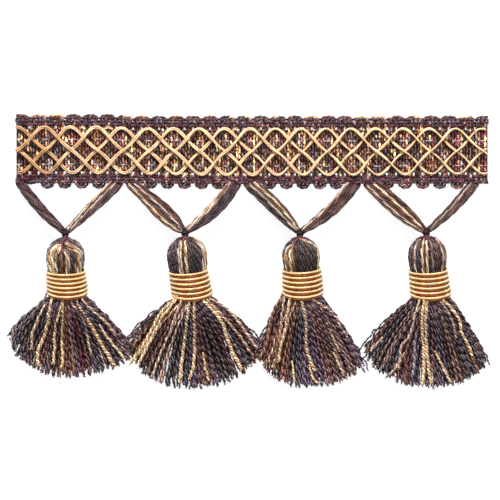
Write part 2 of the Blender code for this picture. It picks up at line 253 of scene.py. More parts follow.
def as_laid(points: Line) -> Line:
    """The heading's places as it lies: its edges sink a little, and its repeats drift along it.

    Args:
        points: Places on a heading that runs dead straight.

    Returns:
        The same places on the real one.
    """
    x, y = points[:, 0], points[:, 1]
    top = (0.4 + 0.57 * ease((x + 54 * MM) / (12 * MM))) * MM
    foot = (0.75 * ease((x + 60 * MM) / (60 * MM)) - 0.33 * ease((x - 40 * MM) / (25 * MM))) * MM
    foot = foot * (1 - 0.75 * ease((-y - 8.6 * MM) / (3 * MM)))
    share = np.clip(y / (16.8 * MM) + 0.5, 0, 1)
    at = np.array([-85, -76, -40, -10, 15, 36, 46, 56, 78, 85]) * MM
    along = np.array([0, 0.6, 0.6, 0.3, 0, -0.7, -1.1, -0.5, -0.3, 0]) * MM
    laid = points.copy()
    laid[:, 0] = x + np.interp(x, at, along)
    laid[:, 1] = y - top * share - foot * (1 - share)
    return laid


# Scene


def mesh_of(bm: bmesh.types.BMesh, name: str) -> Mesh:
    """What a bmesh holds as a new mesh. It frees the bmesh.

    Args:
        bm: The bmesh.
        name: The mesh's name.

    Returns:
        The mesh.
    """
    mesh = bpy.data.meshes.new(name)
    bm.to_mesh(mesh)
    bm.free()
    return mesh


def in_scene(name: str, data: bpy.types.ID) -> bpy.types.Object:
    """A new object in the scene.

    Args:
        name: Its name.
        data: What it shows.

    Returns:
        The object.
    """
    made = bpy.data.objects.new(name, data)
    bpy.context.scene.collection.objects.link(made)
    return made


# Yarn


@dataclass(frozen=True)
class Yarn:
    """How a yarn is made up."""

    width: float  # across the whole yarn
    lay: float = 3.0 * MM  # the length of one turn of its twist
    plies: int = 2  # how many strands are twisted together
    ply_share: float = 0.3  # a ply's radius, as a share of the yarn's width
    flat: float = 1.0  # the yarn's height, as a share of its width
    step: float = 0.5 * MM  # the distance between the rings of its skin

    def lines(self, points: Line, phase: Amount, up: Line | tuple = UP,
              scale: Amount = 1.0) -> list[Line]:
        """The centre lines of its plies round a line.

        Args:
            points: The yarn's own middle line.
            phase: Where in its turn the twist starts.
            up: The direction that the plies' turns are measured from.
            scale: The share of its full width at each point.

        Returns:
            One line for each ply.
        """
        side, rise = square_to(points, up)
        turn = travelled(points) / self.lay * TAU + phase
        reach = scale * self.width * (0.5 - self.ply_share)
        made = []
        for ply in range(self.plies):
            angle = turn + TAU * ply / self.plies
            across = side * (reach * np.cos(angle))[:, None]
            made.append(points + across + rise * (reach * np.sin(angle) * self.flat)[:, None])
        return made


@dataclass
class Strand:
    """One round strand, ready for its skin: its points, and its radius and colour at each."""

    points: Line
    radii: np.ndarray
    tints: np.ndarray


@dataclass
class Spool:
    """Gathers the strands of one piece and turns them into a closed mesh."""

    name: str  # the piece's name
    roundness: int = 0  # the bevel's resolution: 0 gives a strand four sides and 1 six
    strands: list[Strand] = field(default_factory=list)  # what it holds so far
    cap: float = 0.35  # how far the point that closes an end lies past it, in radii
    slim: float = 0.86  # the radius of every second ply, as a share of the first one's
    fray: float = 2.2 * MM  # the length over which a cut end frays
    lights: Pair = (0.86, 1.16)  # the least and the most light of a yarn
    ply_lights: Pair = (0.92, 1.08)  # the same for one ply of it

    def lay_strand(self, points: Line, radius: Amount, tint: np.ndarray) -> None:
        """Adds one strand, with a point past each end that closes it.

        Args:
            points: Its centre line.
            radius: Its radius, the same all along or at each point.
            tint: Its linear colour, one for all or one for each point.
        """
        count = len(points)
        radii, tints = np.broadcast_to(radius, (count,)), np.broadcast_to(tint, (count, 3))
        head = points[0] + unit(points[0] - points[1]) * radii[0] * self.cap
        tail = points[-1] + unit(points[-1] - points[-2]) * radii[-1] * self.cap
        line = np.vstack([head, points, tail])
        tints = np.vstack([tints[:1], tints, tints[-1:]])
        self.strands.append(Strand(line, np.concatenate([[0.0], radii, [0.0]]), tints))

    def lay_yarn(self, yarn: Yarn, points: Line, tone: Tone, rng: Shuffle,
                 up: Line | tuple = UP, scale: Amount = 1.0, parting: float = 0.0,
                 shade: Amount = 1.0, spread: float = 1.0) -> None:
        """Adds a twisted yarn along a line.

        Args:
            yarn: What it is made of.
            points: Its middle line.
            tone: Its colour.
            rng: The shuffle that varies it.
            up: The direction that its twist is measured from.
            scale: The share of its full width at each point.
            parting: How far its plies part at the last point, where it frays.
            shade: How light it is, against its own tone: one number, or a row a point.
            spread: How far the plies' colours part.
        """
        lines = yarn.lines(points, rng.uniform(0, TAU), up, scale)
        bright = rng.uniform(*self.lights)
        for number, line in enumerate(lines):
            radius = yarn.width * yarn.ply_share * scale * (self.slim if number % 2 else 1.0)
            if parting:
                left = travelled(points)[-1] - travelled(points)
                part = ease(1 - left / self.fray)
                line = line + (line - points) * (part * parting)[:, None]
                radius = radius * (1 - 0.12 * part)
                kept = len(line) - rng.randint(0, 1)
                line, radius = line[:kept], radius[:kept]
            tint = tone.ply(number, spread) * bright * rng.uniform(*self.ply_lights)
            self.lay_strand(line, radius, tint * shade)

    def skin(self) -> Mesh:
        """The strands as one mesh with closed ends, a colour on each point and a map along them.

        Returns:
            The mesh.
        """
        curve = bpy.data.curves.new(self.name, "CURVE")
        curve.dimensions = "3D"
        curve.bevel_depth = 1.0
        curve.bevel_resolution = self.roundness
        for strand in self.strands:
            spline = curve.splines.new("POLY")
            spline.points.add(len(strand.points) - 1)
            places = np.hstack([strand.points, np.ones((len(strand.points), 1))])
            spline.points.foreach_set("co", places.astype(np.float32).ravel())
            spline.points.foreach_set("radius", strand.radii.astype(np.float32))
        holder = bpy.data.objects.new(self.name + "_line", curve)
        mesh = bpy.data.meshes.new_from_object(holder)
        bpy.data.objects.remove(holder)
        bpy.data.curves.remove(curve)
        self._colour(mesh)
        self._map(mesh)
        self._close(mesh)
        return mesh

    def _sides(self) -> int:
        """How many sides a strand has."""
        return 4 + 2 * self.roundness

    def _colour(self, mesh: Mesh) -> None:
        """Writes each strand's colour on its own points.

        Args:
            mesh: The piece's mesh.
        """
        tints = np.vstack([strand.tints for strand in self.strands])
        rows = np.repeat(np.hstack([tints, np.ones((len(tints), 1))]), self._sides(), axis=0)
        layer = mesh.color_attributes.new("tint", "FLOAT_COLOR", "POINT")
        layer.data.foreach_set("color", rows.astype(np.float32).ravel())

    def _map(self, mesh: Mesh) -> None:
        """Scales the map: millimetres along each strand, and whole turns round it.

        Args:
            mesh: The piece's mesh.
        """
        layer = mesh.uv_layers[0]
        places = np.empty(len(mesh.loops) * 2, np.float32)
        layer.data.foreach_get("uv", places)
        places = places.reshape(-1, 2)
        corners = [4 * self._sides() * (len(s.points) - 1) for s in self.strands]
        length = [travelled(s.points)[-1] / MM for s in self.strands]
        shift = [3 * (number % 97) for number in range(len(self.strands))]
        places[:, 0] = places[:, 0] * np.repeat(length, corners)
        places[:, 1] += np.repeat(shift, corners)
        layer.data.foreach_set("uv", places.ravel())

    def _close(self, mesh: Mesh) -> None:
        """Draws the last ring at each strand's ends into one point.

        Args:
            mesh: The piece's mesh.
        """
        bm = bmesh.new()
        bm.from_mesh(mesh)
        bm.verts.ensure_lookup_table()
        ends, start, sides = [], 0, self._sides()
        for strand in self.strands:
            size = len(strand.points) * sides
            ends += bm.verts[start : start + sides]
            ends += bm.verts[start + size - sides : start + size]
            start += size
        bmesh.ops.remove_doubles(bm, verts=ends, dist=1e-6)
        bmesh.ops.recalc_face_normals(bm, faces=bm.faces)
        bm.to_mesh(mesh)
        bm.free()
        mesh.shade_smooth()


# Finishes


@dataclass
class Graph:
    """A node material while it is put together."""

    name: str
    material: bpy.types.Material = field(init=False)

    def __post_init__(self) -> None:
        """Starts the material."""
        self.material = bpy.data.materials.new(self.name)
        self.material.use_nodes = True

    def feed(self, node: bpy.types.Node, inputs: dict) -> None:
        """Sets a node's inputs.

        Args:
            node: The node.
            inputs: What each of them takes: a number, a colour, or the output that feeds it.
        """
        for name, value in inputs.items():
            if isinstance(value, Socket):
                self.material.node_tree.links.new(value, node.inputs[name])
            else:
                node.inputs[name].default_value = value

    def add(self, kind: str, inputs: dict | None = None, **settings: str) -> bpy.types.NodeOutputs:
        """Adds a node.

        Args:
            kind: Blender's name for it, after "ShaderNode".
            inputs: What its inputs take.
            **settings: Its other settings.

        Returns:
            Its outputs.
        """
        node = self.material.node_tree.nodes.new("ShaderNode" + kind)
        for name, value in settings.items():
            setattr(node, name, value)
        self.feed(node, inputs or {})
        return node.outputs

    def surface(self, inputs: dict) -> bpy.types.Material:
        """Sets the surface shader's inputs and hands over the material."""
        self.feed(self.material.node_tree.nodes["Principled BSDF"], inputs)
        return self.material

    def math(self, operation: str, *values: Socket | float) -> Socket:
        """One step of arithmetic."""
        return self.add("Math", dict(enumerate(values)), operation=operation)["Value"]

    def stretch(self, source: Socket, part: Pair, to: Pair) -> Socket:
        """Stretches a part of a value's range to another range."""
        ends = dict(zip(("From Min", "From Max", "To Min", "To Max"), (*part, *to)))
        return self.add("MapRange", {"Value": source, **ends})["Result"]


@dataclass(frozen=True)
class ThreadFinish:
    """The surface of spun and dyed thread, in the piece's own map and its tint."""

    name: str  # the material's name
    roughness: Pair  # the dullest and the shiniest fibres
    gloss: float = 0.35  # how strongly it mirrors the light
    fibres: float = 11.0  # how many fibres show round a strand
    contrast: float = 0.35  # how much darker the gaps between the fibres are painted, and paler the fibres: partly their own streaks, partly painted shade in the gaps
    twist: float = 0.8  # the millimetres from one turn of the strand's own twist to the next
    twist_contrast: float = 0.4  # how much darker the grooves of that twist are painted, and paler its crests: painted shade and painted highlight
    relief: float = 0.05 * MM  # how deep the fibres and grooves are
    slant: float = 0.4  # the fibres' angle to the strand, in radians
    patches: float = 420.0  # how many patches of uneven dye there are to a metre
    patch_light: Pair = (0.75, 1.25)  # the light of the darkest and the palest patch
    noise: Pair = (0.3, 0.7)  # the part of a noise texture's range that is used

    def material(self) -> bpy.types.Material:
        """The node material, made once.

        Returns:
            The material.
        """
        made = bpy.data.materials.get(self.name)
        if made:
            return made
        graph = Graph(self.name)
        strip = graph.add("UVMap", uv_map="UVMap")["UV"]
        fibre, groove = self._fibres(graph, strip), self._grooves(graph, strip)
        place = graph.add("TexCoord")["Object"]
        dye = graph.add("TexNoise", {"Vector": place, "Scale": self.patches, "Detail": 2.0})["Fac"]
        # The fibres' streaks and the twist's bands scale the tint: painted shade in the gaps and grooves,
        # painted highlight on the crests.
        streak = graph.stretch(fibre, self.noise, (1 - self.contrast, 1 + self.contrast))
        patch = graph.stretch(dye, self.noise, self.patch_light)
        band = graph.stretch(groove, (0, 1), (1 - self.twist_contrast, 1 + self.twist_contrast))
        shade = graph.math("MULTIPLY", graph.math("MULTIPLY", streak, patch), band)
        tint = graph.add("Attribute", attribute_name="tint")["Color"]
        dyed = graph.add("VectorMath", {0: tint, "Scale": shade}, operation="SCALE")
        relief = {"Strength": 0.8, "Distance": self.relief, "Height": graph.math("ADD", fibre, groove)}
        return graph.surface({
            "Base Color": dyed["Vector"],
            "Roughness": graph.stretch(fibre, self.noise, self.roughness[::-1]),
            "Specular IOR Level": self.gloss,
            "Sheen Weight": 0.04,
            "Sheen Roughness": 0.4,
            "Normal": graph.add("Bump", relief)["Normal"],
        })

    def _fibres(self, graph: Graph, strip: Socket) -> Socket:
        """Fine fibres that run along a strand, slightly slanted.

        Args:
            graph: The material.
            strip: The map along the strand.

        Returns:
            How pale each place is, from 0 to 1.
        """
        lean = {"Vector": strip, "Rotation": (0, 0, self.slant), "Scale": (0.35, self.fibres, 1.0)}
        place = graph.add("Mapping", lean)["Vector"]
        return graph.add("TexNoise", {"Vector": place, "Scale": 1.0, "Detail": 3.0})["Fac"]

    def _grooves(self, graph: Graph, strip: Socket) -> Socket:
        """The helical grooves of a strand's own twist: 0 in the grooves and 1 on the crests.

        Args:
            graph: The material.
            strip: The map along the strand.

        Returns:
            The height of each place.
        """
        parts = graph.add("SeparateXYZ", {"Vector": strip})
        turn = graph.math("ADD", graph.math("MULTIPLY", parts["X"], 1 / self.twist), parts["Y"])
        return graph.stretch(graph.math("SINE", graph.math("MULTIPLY", turn, TAU)), (-1, 1), (0, 1))


YARN_FINISH = ThreadFinish("spun_yarn", (0.3, 0.5), twist=0.75, twist_contrast=0.34)
BRAID_FINISH = ThreadFinish("braid_yarn", (0.35, 0.55), twist=0.85, twist_contrast=0.25)
GIMP_FINISH = ThreadFinish("gimp_satin", (0.3, 0.45), 0.5, 14.0, 0.16, 0.7, 0.1, 0.03 * MM)
COLLAR_FINISH = ThreadFinish("collar_satin", (0.28, 0.42), 0.5, 14.0, 0.12, 0.5, 0.06, 0.02 * MM)
THREAD_FINISH = ThreadFinish("wound_thread", (0.4, 0.6), twist=0.5, twist_contrast=0.3)


@dataclass(frozen=True)
class BackingFinish:
    """Plain-woven dark backing cloth: fine warps and wefts over and under each other."""

    name: str = "braid_backing"
    dark: Colour = (32, 20, 20)
    light: Colour = (82, 56, 52)
    thread: float = 0.55 * MM

    def material(self) -> bpy.types.Material:
        """The node material.

        Returns:
            The material.
        """
        graph = Graph(self.name)
        bands = {"Vector": graph.add("TexCoord")["Object"], "Scale": 0.314 / self.thread,
                 "Distortion": 0.6, "Detail": 1.0}
        waves = [graph.add("TexWave", bands, bands_direction=way)["Fac"] for way in "XY"]
        weave = graph.math("MULTIPLY", *waves)
        dark, light = ((*to_linear(shade), 1) for shade in (self.dark, self.light))
        cloth = graph.add("MixRGB", {"Fac": weave, 1: dark, 2: light})
        return graph.surface({
            "Base Color": cloth["Color"],
            "Roughness": graph.stretch(weave, (0, 1), (0.8, 0.6)),
            "Sheen Weight": 0.2,
            "Normal": graph.add("Bump", {"Distance": 0.1 * MM, "Height": weave})["Normal"],
        })


class Slot(Enum):
    """Names for material slots, which the pieces here don't use."""

    BRAID = "heading_braid"
    GIMP = "gimp_cord"
    YARN = "mixed_yarn"
    COLLAR = "collar_cord"
    THREAD = "tie_thread"


def add_piece(mesh: Mesh, finish: bpy.types.Material, node: str) -> bpy.types.Object:
    """Puts a finished mesh in the scene as a piece of the trim.

    Args:
        mesh: The piece's mesh, already in its place.
        finish: Its material.
        node: The CAD node that it stands for.

    Returns:
        The piece.
    """
    mesh.materials.append(finish)
    piece = in_scene(mesh.name, mesh)
    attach(piece, "root")
    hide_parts(node)
    LOG.info("%s: %d faces", piece.name, len(mesh.polygons))
    return piece


# Heading


@dataclass
class Heading:
    """The woven heading: backing, weft yarns that loop out at both edges, warps and border ropes.

    Where a size differs between the edges, the lower edge's comes first.
    """

    length: float = 170.0 * MM
    picots: float = 27.5  # loops along each edge
    bare_picots: tuple[int, ...] = (5, 6)  # lower loops of each seven that run on as bundles
    picots_per_tassel: int = 7
    rng: Shuffle = field(default_factory=lambda: Shuffle(HEADING_SEED))
    weft: Yarn = Yarn(1.0 * MM, 3.4 * MM, step=0.6 * MM)
    weft_pitch: float = 1.03 * MM
    weft_height: float = 0.78 * MM
    weft_wave: float = 0.3 * MM  # how far it rises and sinks over the warps
    dye_rows: tuple[int, int] = (2, 9)  # the least and the most points of one dye
    run_end: float = 8.7 * MM  # where the ground meets the borders
    run_points: int = 39
    loop_start: float = 12.2 * MM  # where the wefts leave the border as loops
    edges: Pair = (14.15 * MM, 13.2 * MM)
    loop_halves: tuple[tuple[float, ...], ...] = ((2.05, 1.1, 0.35), (2.35, 1.4, 0.5))  # nested, in mm
    loop_gap: float = 0.9 * MM  # from one nested loop to the next
    border_row: float = 8.6 * MM  # where the ground's light gives way to the border's
    border_lights: Pair = (0.69, 0.58)
    tip_row: float = 12.1 * MM  # where the upper loops' pale tips begin
    rope: Yarn = Yarn(1.32 * MM, 3.1 * MM, flat=0.9)
    rope_rows: tuple[float, ...] = (9.5 * MM, 10.6 * MM, 11.7 * MM)
    rope_height: float = 1.35 * MM
    rope_wave: float = 0.35 * MM
    rope_lights: Pair = (0.64, 0.512)
    rope_dye: tuple[int, int] = (3, 9)
    pale_warps: tuple[float, ...] = (3.9 * MM, -5.3 * MM)
    dark_warps: tuple[float, ...] = (7.4 * MM, 1.6 * MM, -0.7 * MM, -3.0 * MM, -7.7 * MM)
    warp_pitch: float = 1.15 * MM
    warp_radius: float = 0.2 * MM
    slit_row: float = 8.3 * MM
    slit_reaches: Pair = (0.8 * MM, 0.5 * MM)
    slit_halves: Pair = (0.31 * MM, 0.44 * MM)
    closing: float = 0.37  # how much the wefts of a group close up beside the slits
    backing_half: float = 11.0 * MM
    backing_rows: int = 44
    backing_thick: float = 0.2 * MM

    @property
    def pitch(self) -> float:
        """From one loop to the next."""
        return self.length / self.picots

    def build(self) -> None:
        """Makes every piece of the heading."""
        yarns = [add_piece(mesh, BRAID_FINISH.material(), "heading")
                 for mesh in (self._wefts(), self._warps(), self._ropes())]
        backing = add_piece(self._backing(), BackingFinish().material(), "heading")

    def _is_bare(self, index: int) -> bool:
        """True where a lower loop runs on as a tassel's bundle."""
        return index % self.picots_per_tassel in self.bare_picots or index <= 0

    def _is_cross(self, x: float, y: float) -> bool:
        """True on the pale weft that crosses a pale warp in the middle of a diamond."""
        near = min(abs(y - row) for row in self.pale_warps) < 1.5 * MM
        return near and self._from_crest(x) < 0.53 * MM

    @staticmethod
    def _from_crest(x: Amount) -> Amount:
        """How far a place lies from the nearest crest of a gimp cord, along the heading."""
        pitch = GimpCord.crest_pitch
        return np.abs((x - GimpCord.first_crest + pitch / 2) % pitch - pitch / 2)

    def _loop(self, middle: float, half: float, side: int, nest: int, bare: bool) -> list:
        """One loop of a weft at an edge, over and under the border's ropes on its way.

        Args:
            middle: Where the loop stands.
            half: From the middle to the weft's runs.
            side: 1 for the upper edge, -1 for the lower.
            nest: Its place in the nest of three, from 0 for the outermost.
            bare: True where no loop shows.

        Returns:
            Its points, (x, y, z).
        """
        wide = self.loop_halves[side > 0][nest] * MM
        reach = self.edges[side > 0] - self.weft.width / 2 - nest * self.loop_gap
        if bare:
            reach = self.loop_start - 0.4 * MM * nest
        start = min(self.loop_start, reach - 0.3 * MM)
        legs = []
        for leg in (-1, 1):
            legs.append([])
            for y in np.linspace(self.run_end, start, 12):
                share = (y - self.run_end) / (start - self.run_end)
                x = half + (wide - half) * ease(share * 1.2)
                legs[-1].append((leg * x, y, self._over(y, leg * side)))
        arc = []
        for step in range(1, 10):
            angle = math.pi * step / 10
            y = start + (reach - start) * math.sin(angle)
            arc.append((-wide * math.cos(angle), y, (0.8 + 0.1 * math.sin(angle)) * MM))
        return [(middle + x, side * y, z) for x, y, z in legs[0] + arc + legs[1][::-1]]

    def _over(self, y: float, leg: int) -> float:
        """The height of a weft in the border: over one rope, under the next.

        Args:
            y: The distance from the heading's middle line.
            leg: -1 or 1, for the weft groups that go up and down the heading.

        Returns:
            The height of the weft's middle.
        """
        pitch = self.rope_rows[1] - self.rope_rows[0]
        turn = (y - self.rope_rows[0]) / pitch * math.pi
        fade = ease((y - self.run_end) / (0.5 * MM)) * ease((self.rope_rows[-1] + 0.9 * MM - y) / (0.9 * MM))
        return self.weft_height + fade * (0.5 + 0.62 * leg * math.cos(turn)) * MM

    def _serpentine(self, track: int) -> tuple[list, list]:
        """One weft's way up and down the heading.

        Args:
            track: -1, 0 or 1: where it lies in its group of three.

        Returns:
            Its points, and its tone on each.
        """
        points, tones, rng = [], [], self.rng
        half = self.pitch / 2
        rows = np.linspace(-self.run_end, self.run_end, self.run_points + 2)[1:-1]
        for run in range(int(2 * self.picots) + 1):
            way = -1 if run % 2 else 1  # 1 up the heading, -1 down it
            x = -self.length / 2 + run * half
            offset = way * track * self.weft_pitch
            drift = rng.uniform(-0.1, 0.1) * MM
            dye, left = WEFT_MIX.pick(rng), rng.randint(*self.dye_rows)
            for y in rows[::way]:
                close = 1 - self.closing * math.exp(-(((abs(y) - self.slit_row) / (0.95 * MM)) ** 2))
                fade = ease((self.run_end - abs(y)) / (1.4 * MM))
                wave = math.cos(math.pi * (y / self.warp_pitch + 3 * run + way * track))
                z = self.weft_height + self.weft_wave * wave * fade
                points.append((x + offset * close + drift, y, z))
                tones.append(SHELL if self._is_cross(x + offset, y) else dye)
                left -= 1
                if left == 0:
                    dye, left = WEFT_MIX.pick(rng), rng.randint(*self.dye_rows)
            outer = -way * track
            bare = way < 0 and self._is_bare(run // 2)
            mix = PICOT_RIM_MIX if outer > 0 or rng.random() < 0.3 else PICOT_EYE_MIX
            if way > 0:
                mix = PICOT_TIP_MIX if outer > 0 and rng.random() < 0.6 else PICOT_RIM_MIX
            dye = (BORDER_MIX if bare else mix).pick(rng)
            loop = self._loop(x + half / 2, half / 2 + outer * self.weft_pitch, way, 1 - outer, bare)
            points += loop
            tones += [dye] * len(loop)
        return points, tones

    def _wefts(self) -> Mesh:
        """The weft yarns, with their loops.

        Returns:
            Their mesh.
        """
        spool = Spool("heading_wefts")
        limit = self.length / 2 - 0.1 * MM
        for track in (-1, 0, 1):
            points, tones = self._serpentine(track)
            inside = [abs(point[0]) < limit for point in points]
            first, last = inside.index(True), len(inside) - inside[::-1].index(True)
            kept = np.array(points[first:last])
            kept[:, 0] = np.clip(kept[:, 0], -limit, limit)
            line = evenly(kept, self.weft.step)
            spots = np.interp(travelled(line), travelled(kept), np.arange(len(kept)))
            picked = [tones[first + round(spot)] for spot in spots]
            full = 1 + 0.3 * ease((np.abs(line[:, 1]) - self.loop_start) / (0.8 * MM))
            phase = self.rng.uniform(0, TAU)
            shade = self._shade(line)
            for number, ply in enumerate(self.weft.lines(as_laid(line), phase, scale=full)):
                tints = np.array([tone.ply(number, 0.65) for tone in picked]) * shade
                spool.lay_strand(ply, self.weft.width * self.weft.ply_share * full, tints)
        return spool.skin()

    def _shade(self, line: Line) -> np.ndarray:
        """The painted light and shade on a weft's tint at each point, with the colour of its region.

        Args:
            line: The weft.

        Returns:
            A share of red, green and blue for each point.
        """
        cords = np.vstack([GimpCord(number).path()[:, :2] for number in range(4)])[::2]
        gaps = [np.linalg.norm(part[:, None] - cords, axis=2).min(axis=1)
                for part in np.array_split(line[:, :2], 40)]
        # Painted shadow: the wefts darken within about 1.4 mm of a gimp cord's middle.
        beside = 1 - ease((np.concatenate(gaps) - 0.7 * MM) / (0.7 * MM))
        # Painted shade where a weft dips under a warp, and painted highlight where it rises over one.
        lift = np.clip((line[:, 2] - self.weft_height) / self.weft_wave, -1, 1)
        end = 0.45 + 0.55 * ease((line[:, 0] + 83 * MM) / (3 * MM))
        inner = ((1.55 - 0.8 * beside) * (0.88 + 0.4 * lift) * end)[:, None] * GROUND_CAST
        edge = np.where(line[:, 1] < 0, *self.border_lights)[:, None] * BORDER_CAST
        tip = ease((line[:, 1] - self.tip_row) / (0.6 * MM))[:, None]
        edge = edge * (1 - tip) + TIP_CAST * tip
        border = ease((np.abs(line[:, 1]) - self.border_row) / (0.8 * MM))[:, None]
        return inner * (1 - border) + edge * border

    def _warps(self) -> Mesh:
        """The thin warps that run the length of the ground, over and under the wefts.

        Returns:
            Their mesh.
        """
        spool = Spool("heading_warps")
        count = int(self.length / self.weft_pitch)
        steps = np.arange(2 * count + 1) / 2
        for row in self.pale_warps + self.dark_warps:
            x = -self.length / 2 + 0.3 * MM + steps * (self.length - 0.6 * MM) / count
            sway = np.array([self.rng.uniform(-0.05, 0.05) for _ in steps]) * MM
            z = self.weft_height + 0.24 * MM + 0.42 * MM * np.cos(steps * math.pi + row * 1e4)
            line = as_laid(np.stack([x, row + sway, z], axis=1))
            cross = (self._from_crest(x) < 1.4 * MM) & (row in self.pale_warps)
            tint = np.where(cross[:, None], PEARL.ply(1) * 0.7, BLACK.ply(0))
            spool.lay_strand(line, np.where(cross, 1.15, 1.0) * self.warp_radius, tint)
        return spool.skin()

    def _ropes(self) -> Mesh:
        """The two-ply ropes that bind each border, with dyes that change along them.

        Returns:
            Their mesh.
        """
        spool = Spool("heading_ropes")
        x = np.arange(-self.length / 2 + 0.3 * MM, self.length / 2 - 0.2 * MM, self.rope.step)
        run = (x + self.length / 2) / (self.pitch / 2)
        for side, light in zip((-1, 1), self.rope_lights):
            for number, row in enumerate(self.rope_rows):
                hand = (-1) ** number
                z = self.rope_height + self.rope_wave * hand * np.cos(run * math.pi)
                line = as_laid(np.stack([x, np.full(len(x), side * row), z], axis=1))
                rope = replace(self.rope, lay=self.rope.lay * hand)
                for ply, strand in enumerate(rope.lines(line, self.rng.uniform(0, TAU))):
                    tints = self._changing(len(line), ply) * light
                    spool.lay_strand(strand, rope.width * rope.ply_share, tints)
        return spool.skin()

    def _changing(self, count: int, ply: int) -> np.ndarray:
        """Colours for one ply of a rope, whose dye changes every few millimetres.

        Args:
            count: How many points it has.
            ply: Which ply it is.

        Returns:
            A colour for each point.
        """
        tints, left = np.empty((count, 3)), 0
        for place in range(count):
            if left == 0:
                tone, left = BORDER_MIX.pick(self.rng), self.rng.randint(*self.rope_dye)
                bright = self.rng.uniform(0.8, 1.15)
            tints[place] = tone.ply(ply, 0.5) * bright * BORDER_CAST
            left -= 1
        return tints

    def _backing(self) -> Mesh:
        """The thin backing cloth, with slits between the weft groups along each border.

        Returns:
            Its mesh.
        """
        bm = bmesh.new()
        end = self.length / 2 - 0.2 * MM
        edges = [-end]
        for gap in range(int(2 * self.picots)):
            middle = -self.length / 2 + (gap + 0.5) * self.pitch / 2
            half = self.slit_halves[gap % 2]
            edges += [middle - half, middle + half]
        edges.append(end)
        bmesh.ops.create_grid(bm, x_segments=len(edges) - 1, y_segments=self.backing_rows, size=1.0)
        for vert in bm.verts:
            place = round((vert.co.x + 1) / 2 * (len(edges) - 1))
            vert.co = (edges[place], vert.co.y * self.backing_half, 0.06 * MM)
        slits = []
        for face in bm.faces:
            middle = face.calc_center_median()
            places = [vert.co.x for vert in face.verts]
            reach = self.slit_reaches[middle.y > 0]
            if max(places) - min(places) < 1 * MM and abs(abs(middle.y) - self.slit_row) < reach:
                slits.append(face)
        bmesh.ops.delete(bm, geom=slits, context="FACES")
        for vert in bm.verts:
            vert.co = as_laid(np.array([vert.co]))[0]
        bmesh.ops.recalc_face_normals(bm, faces=bm.faces)
        bmesh.ops.solidify(bm, geom=bm.faces[:], thickness=-self.backing_thick)
        bmesh.ops.recalc_face_normals(bm, faces=bm.faces)
        return mesh_of(bm, "heading_backing")


# Gimp cords


@dataclass
class GimpCord:
    """One of the four gold cords that swing across the heading and climb over each other."""

    number: int  # 0 to 3, in the order of their first crests
    crest_pitch: float = 9.29 * MM  # from one cord's crest to the next cord's
    first_crest: float = -84.1 * MM
    reach: float = 8.4 * MM  # how far it swings from the heading's middle line
    lean: float = 0.055  # how far its swings lean along the heading, for each step across it
    low: float = 2.45 * MM  # its height where it passes under another
    climb: float = 1.3 * MM  # how much higher it passes over one
    stack: tuple[int, ...] = (0, 3, 1, 2)  # each cord's rank: the higher one lies on top
    half_length: float = 84.8 * MM
    limit: float = 84.9 * MM  # the furthest that a leaning swing may come along the heading
    cord: Yarn = Yarn(1.24 * MM, 1.0, ply_share=0.265, step=0.58 * MM)
    gold: Colour = (245, 208, 164)
    tan: Colour = (208, 156, 104)
    # the colour of the fine strand in the groove between the plies: painted shade
    groove: Colour = (150, 92, 46)
    groove_shade_radius: float = 0.14 * MM

    def path(self) -> Line:
        """The cord's middle line, from one end of the heading to the other.

        Returns:
            Its points.
        """
        x = np.arange(-self.half_length, self.half_length, 0.4 * MM)
        first = self.first_crest + self.number * self.crest_pitch
        angle = (x - first) / self.crest_pitch * TAU / 4
        y = self.reach * (0.887 * np.cos(angle) + 0.113 * np.cos(3 * angle))
        z = np.array([self._height(a) for a in angle])
        shifted = np.clip(x - self.lean * y, -self.limit, self.limit)
        return evenly(np.stack([shifted, y, z], axis=1), self.cord.step)

    def build(self) -> None:
        """Makes the cord's two plies and a fine dark strand between them that paints the shade in their
        groove.
        """
        rng = Shuffle(GIMP_SEED + self.number)
        spool = Spool(f"gimp_{self.number + 1}", 1)
        line = as_laid(self.path())
        along = travelled(line)
        roll = 0.45 * np.sin(along / (11 * MM) * TAU + rng.uniform(0, TAU))
        tan = ease((-62 * MM - line[:, 0]) / (14 * MM)) * 0.8
        for ply in self.cord.lines(line, roll):
            wave = 0.2 + 0.2 * np.sin(along / (17 * MM) * TAU + rng.uniform(0, TAU))
            share = np.clip(tan + wave, 0, 1)[:, None]
            tint = to_linear(self.gold) * (1 - share) + to_linear(self.tan) * share
            spool.lay_strand(ply, self.cord.width * self.cord.ply_share, tint)
        # A fine dark strand down the groove between the plies: painted shade.
        side, rise = square_to(line)
        groove = line + rise * 0.13 * MM - side * (0.18 * MM * np.sin(roll))[:, None]
        spool.lay_strand(groove[::2], self.groove_shade_radius, to_linear(self.groove))
        add_piece(spool.skin(), GIMP_FINISH.material(), f"gimp_cord_{self.number + 1}")

    def _rank(self, eighth: int) -> int:
        """1 where this cord lies over the one that it crosses, else 0."""
        other = (self.number + eighth % 4) % 4
        return int(self.stack[self.number] > self.stack[other])

    def _height(self, angle: float) -> float:
        """How high the cord's middle is at a phase of its swing.

        Args:
            angle: The phase, which is 0 on its first crest.

        Returns:
            The height.
        """
        eighths = angle / (TAU / 8)
        before = math.floor(eighths)
        start, end = self._rank(before % 8), self._rank((before + 1) % 8)
        share = (1 - math.cos(math.pi * (eighths - before))) / 2
        return self.low + self.climb * (start + (end - start) * share)


# Tassels


@dataclass(frozen=True)
class Accent:
    """One bright strand that lies on top of a skirt."""

    tone: Tone  # its colour
    width: float  # its width, against the other yarns
    knots: tuple[float, ...]  # points of its way, x and y in mm by turns, from the collar to its cut end


@dataclass(frozen=True)
class Layer:
    """One layer of a skirt's yarns."""

    yarns: int  # how many there are
    root_rise: float  # how high they leave the collar, over its axis
    hem_height: float  # how high they lie at the hem
    fan: float  # their share of the skirt's fan
    length: float  # their share of its length
    width: float  # how wide they are, against the tassel's yarn
    step: float  # the distance between the rings of their skin


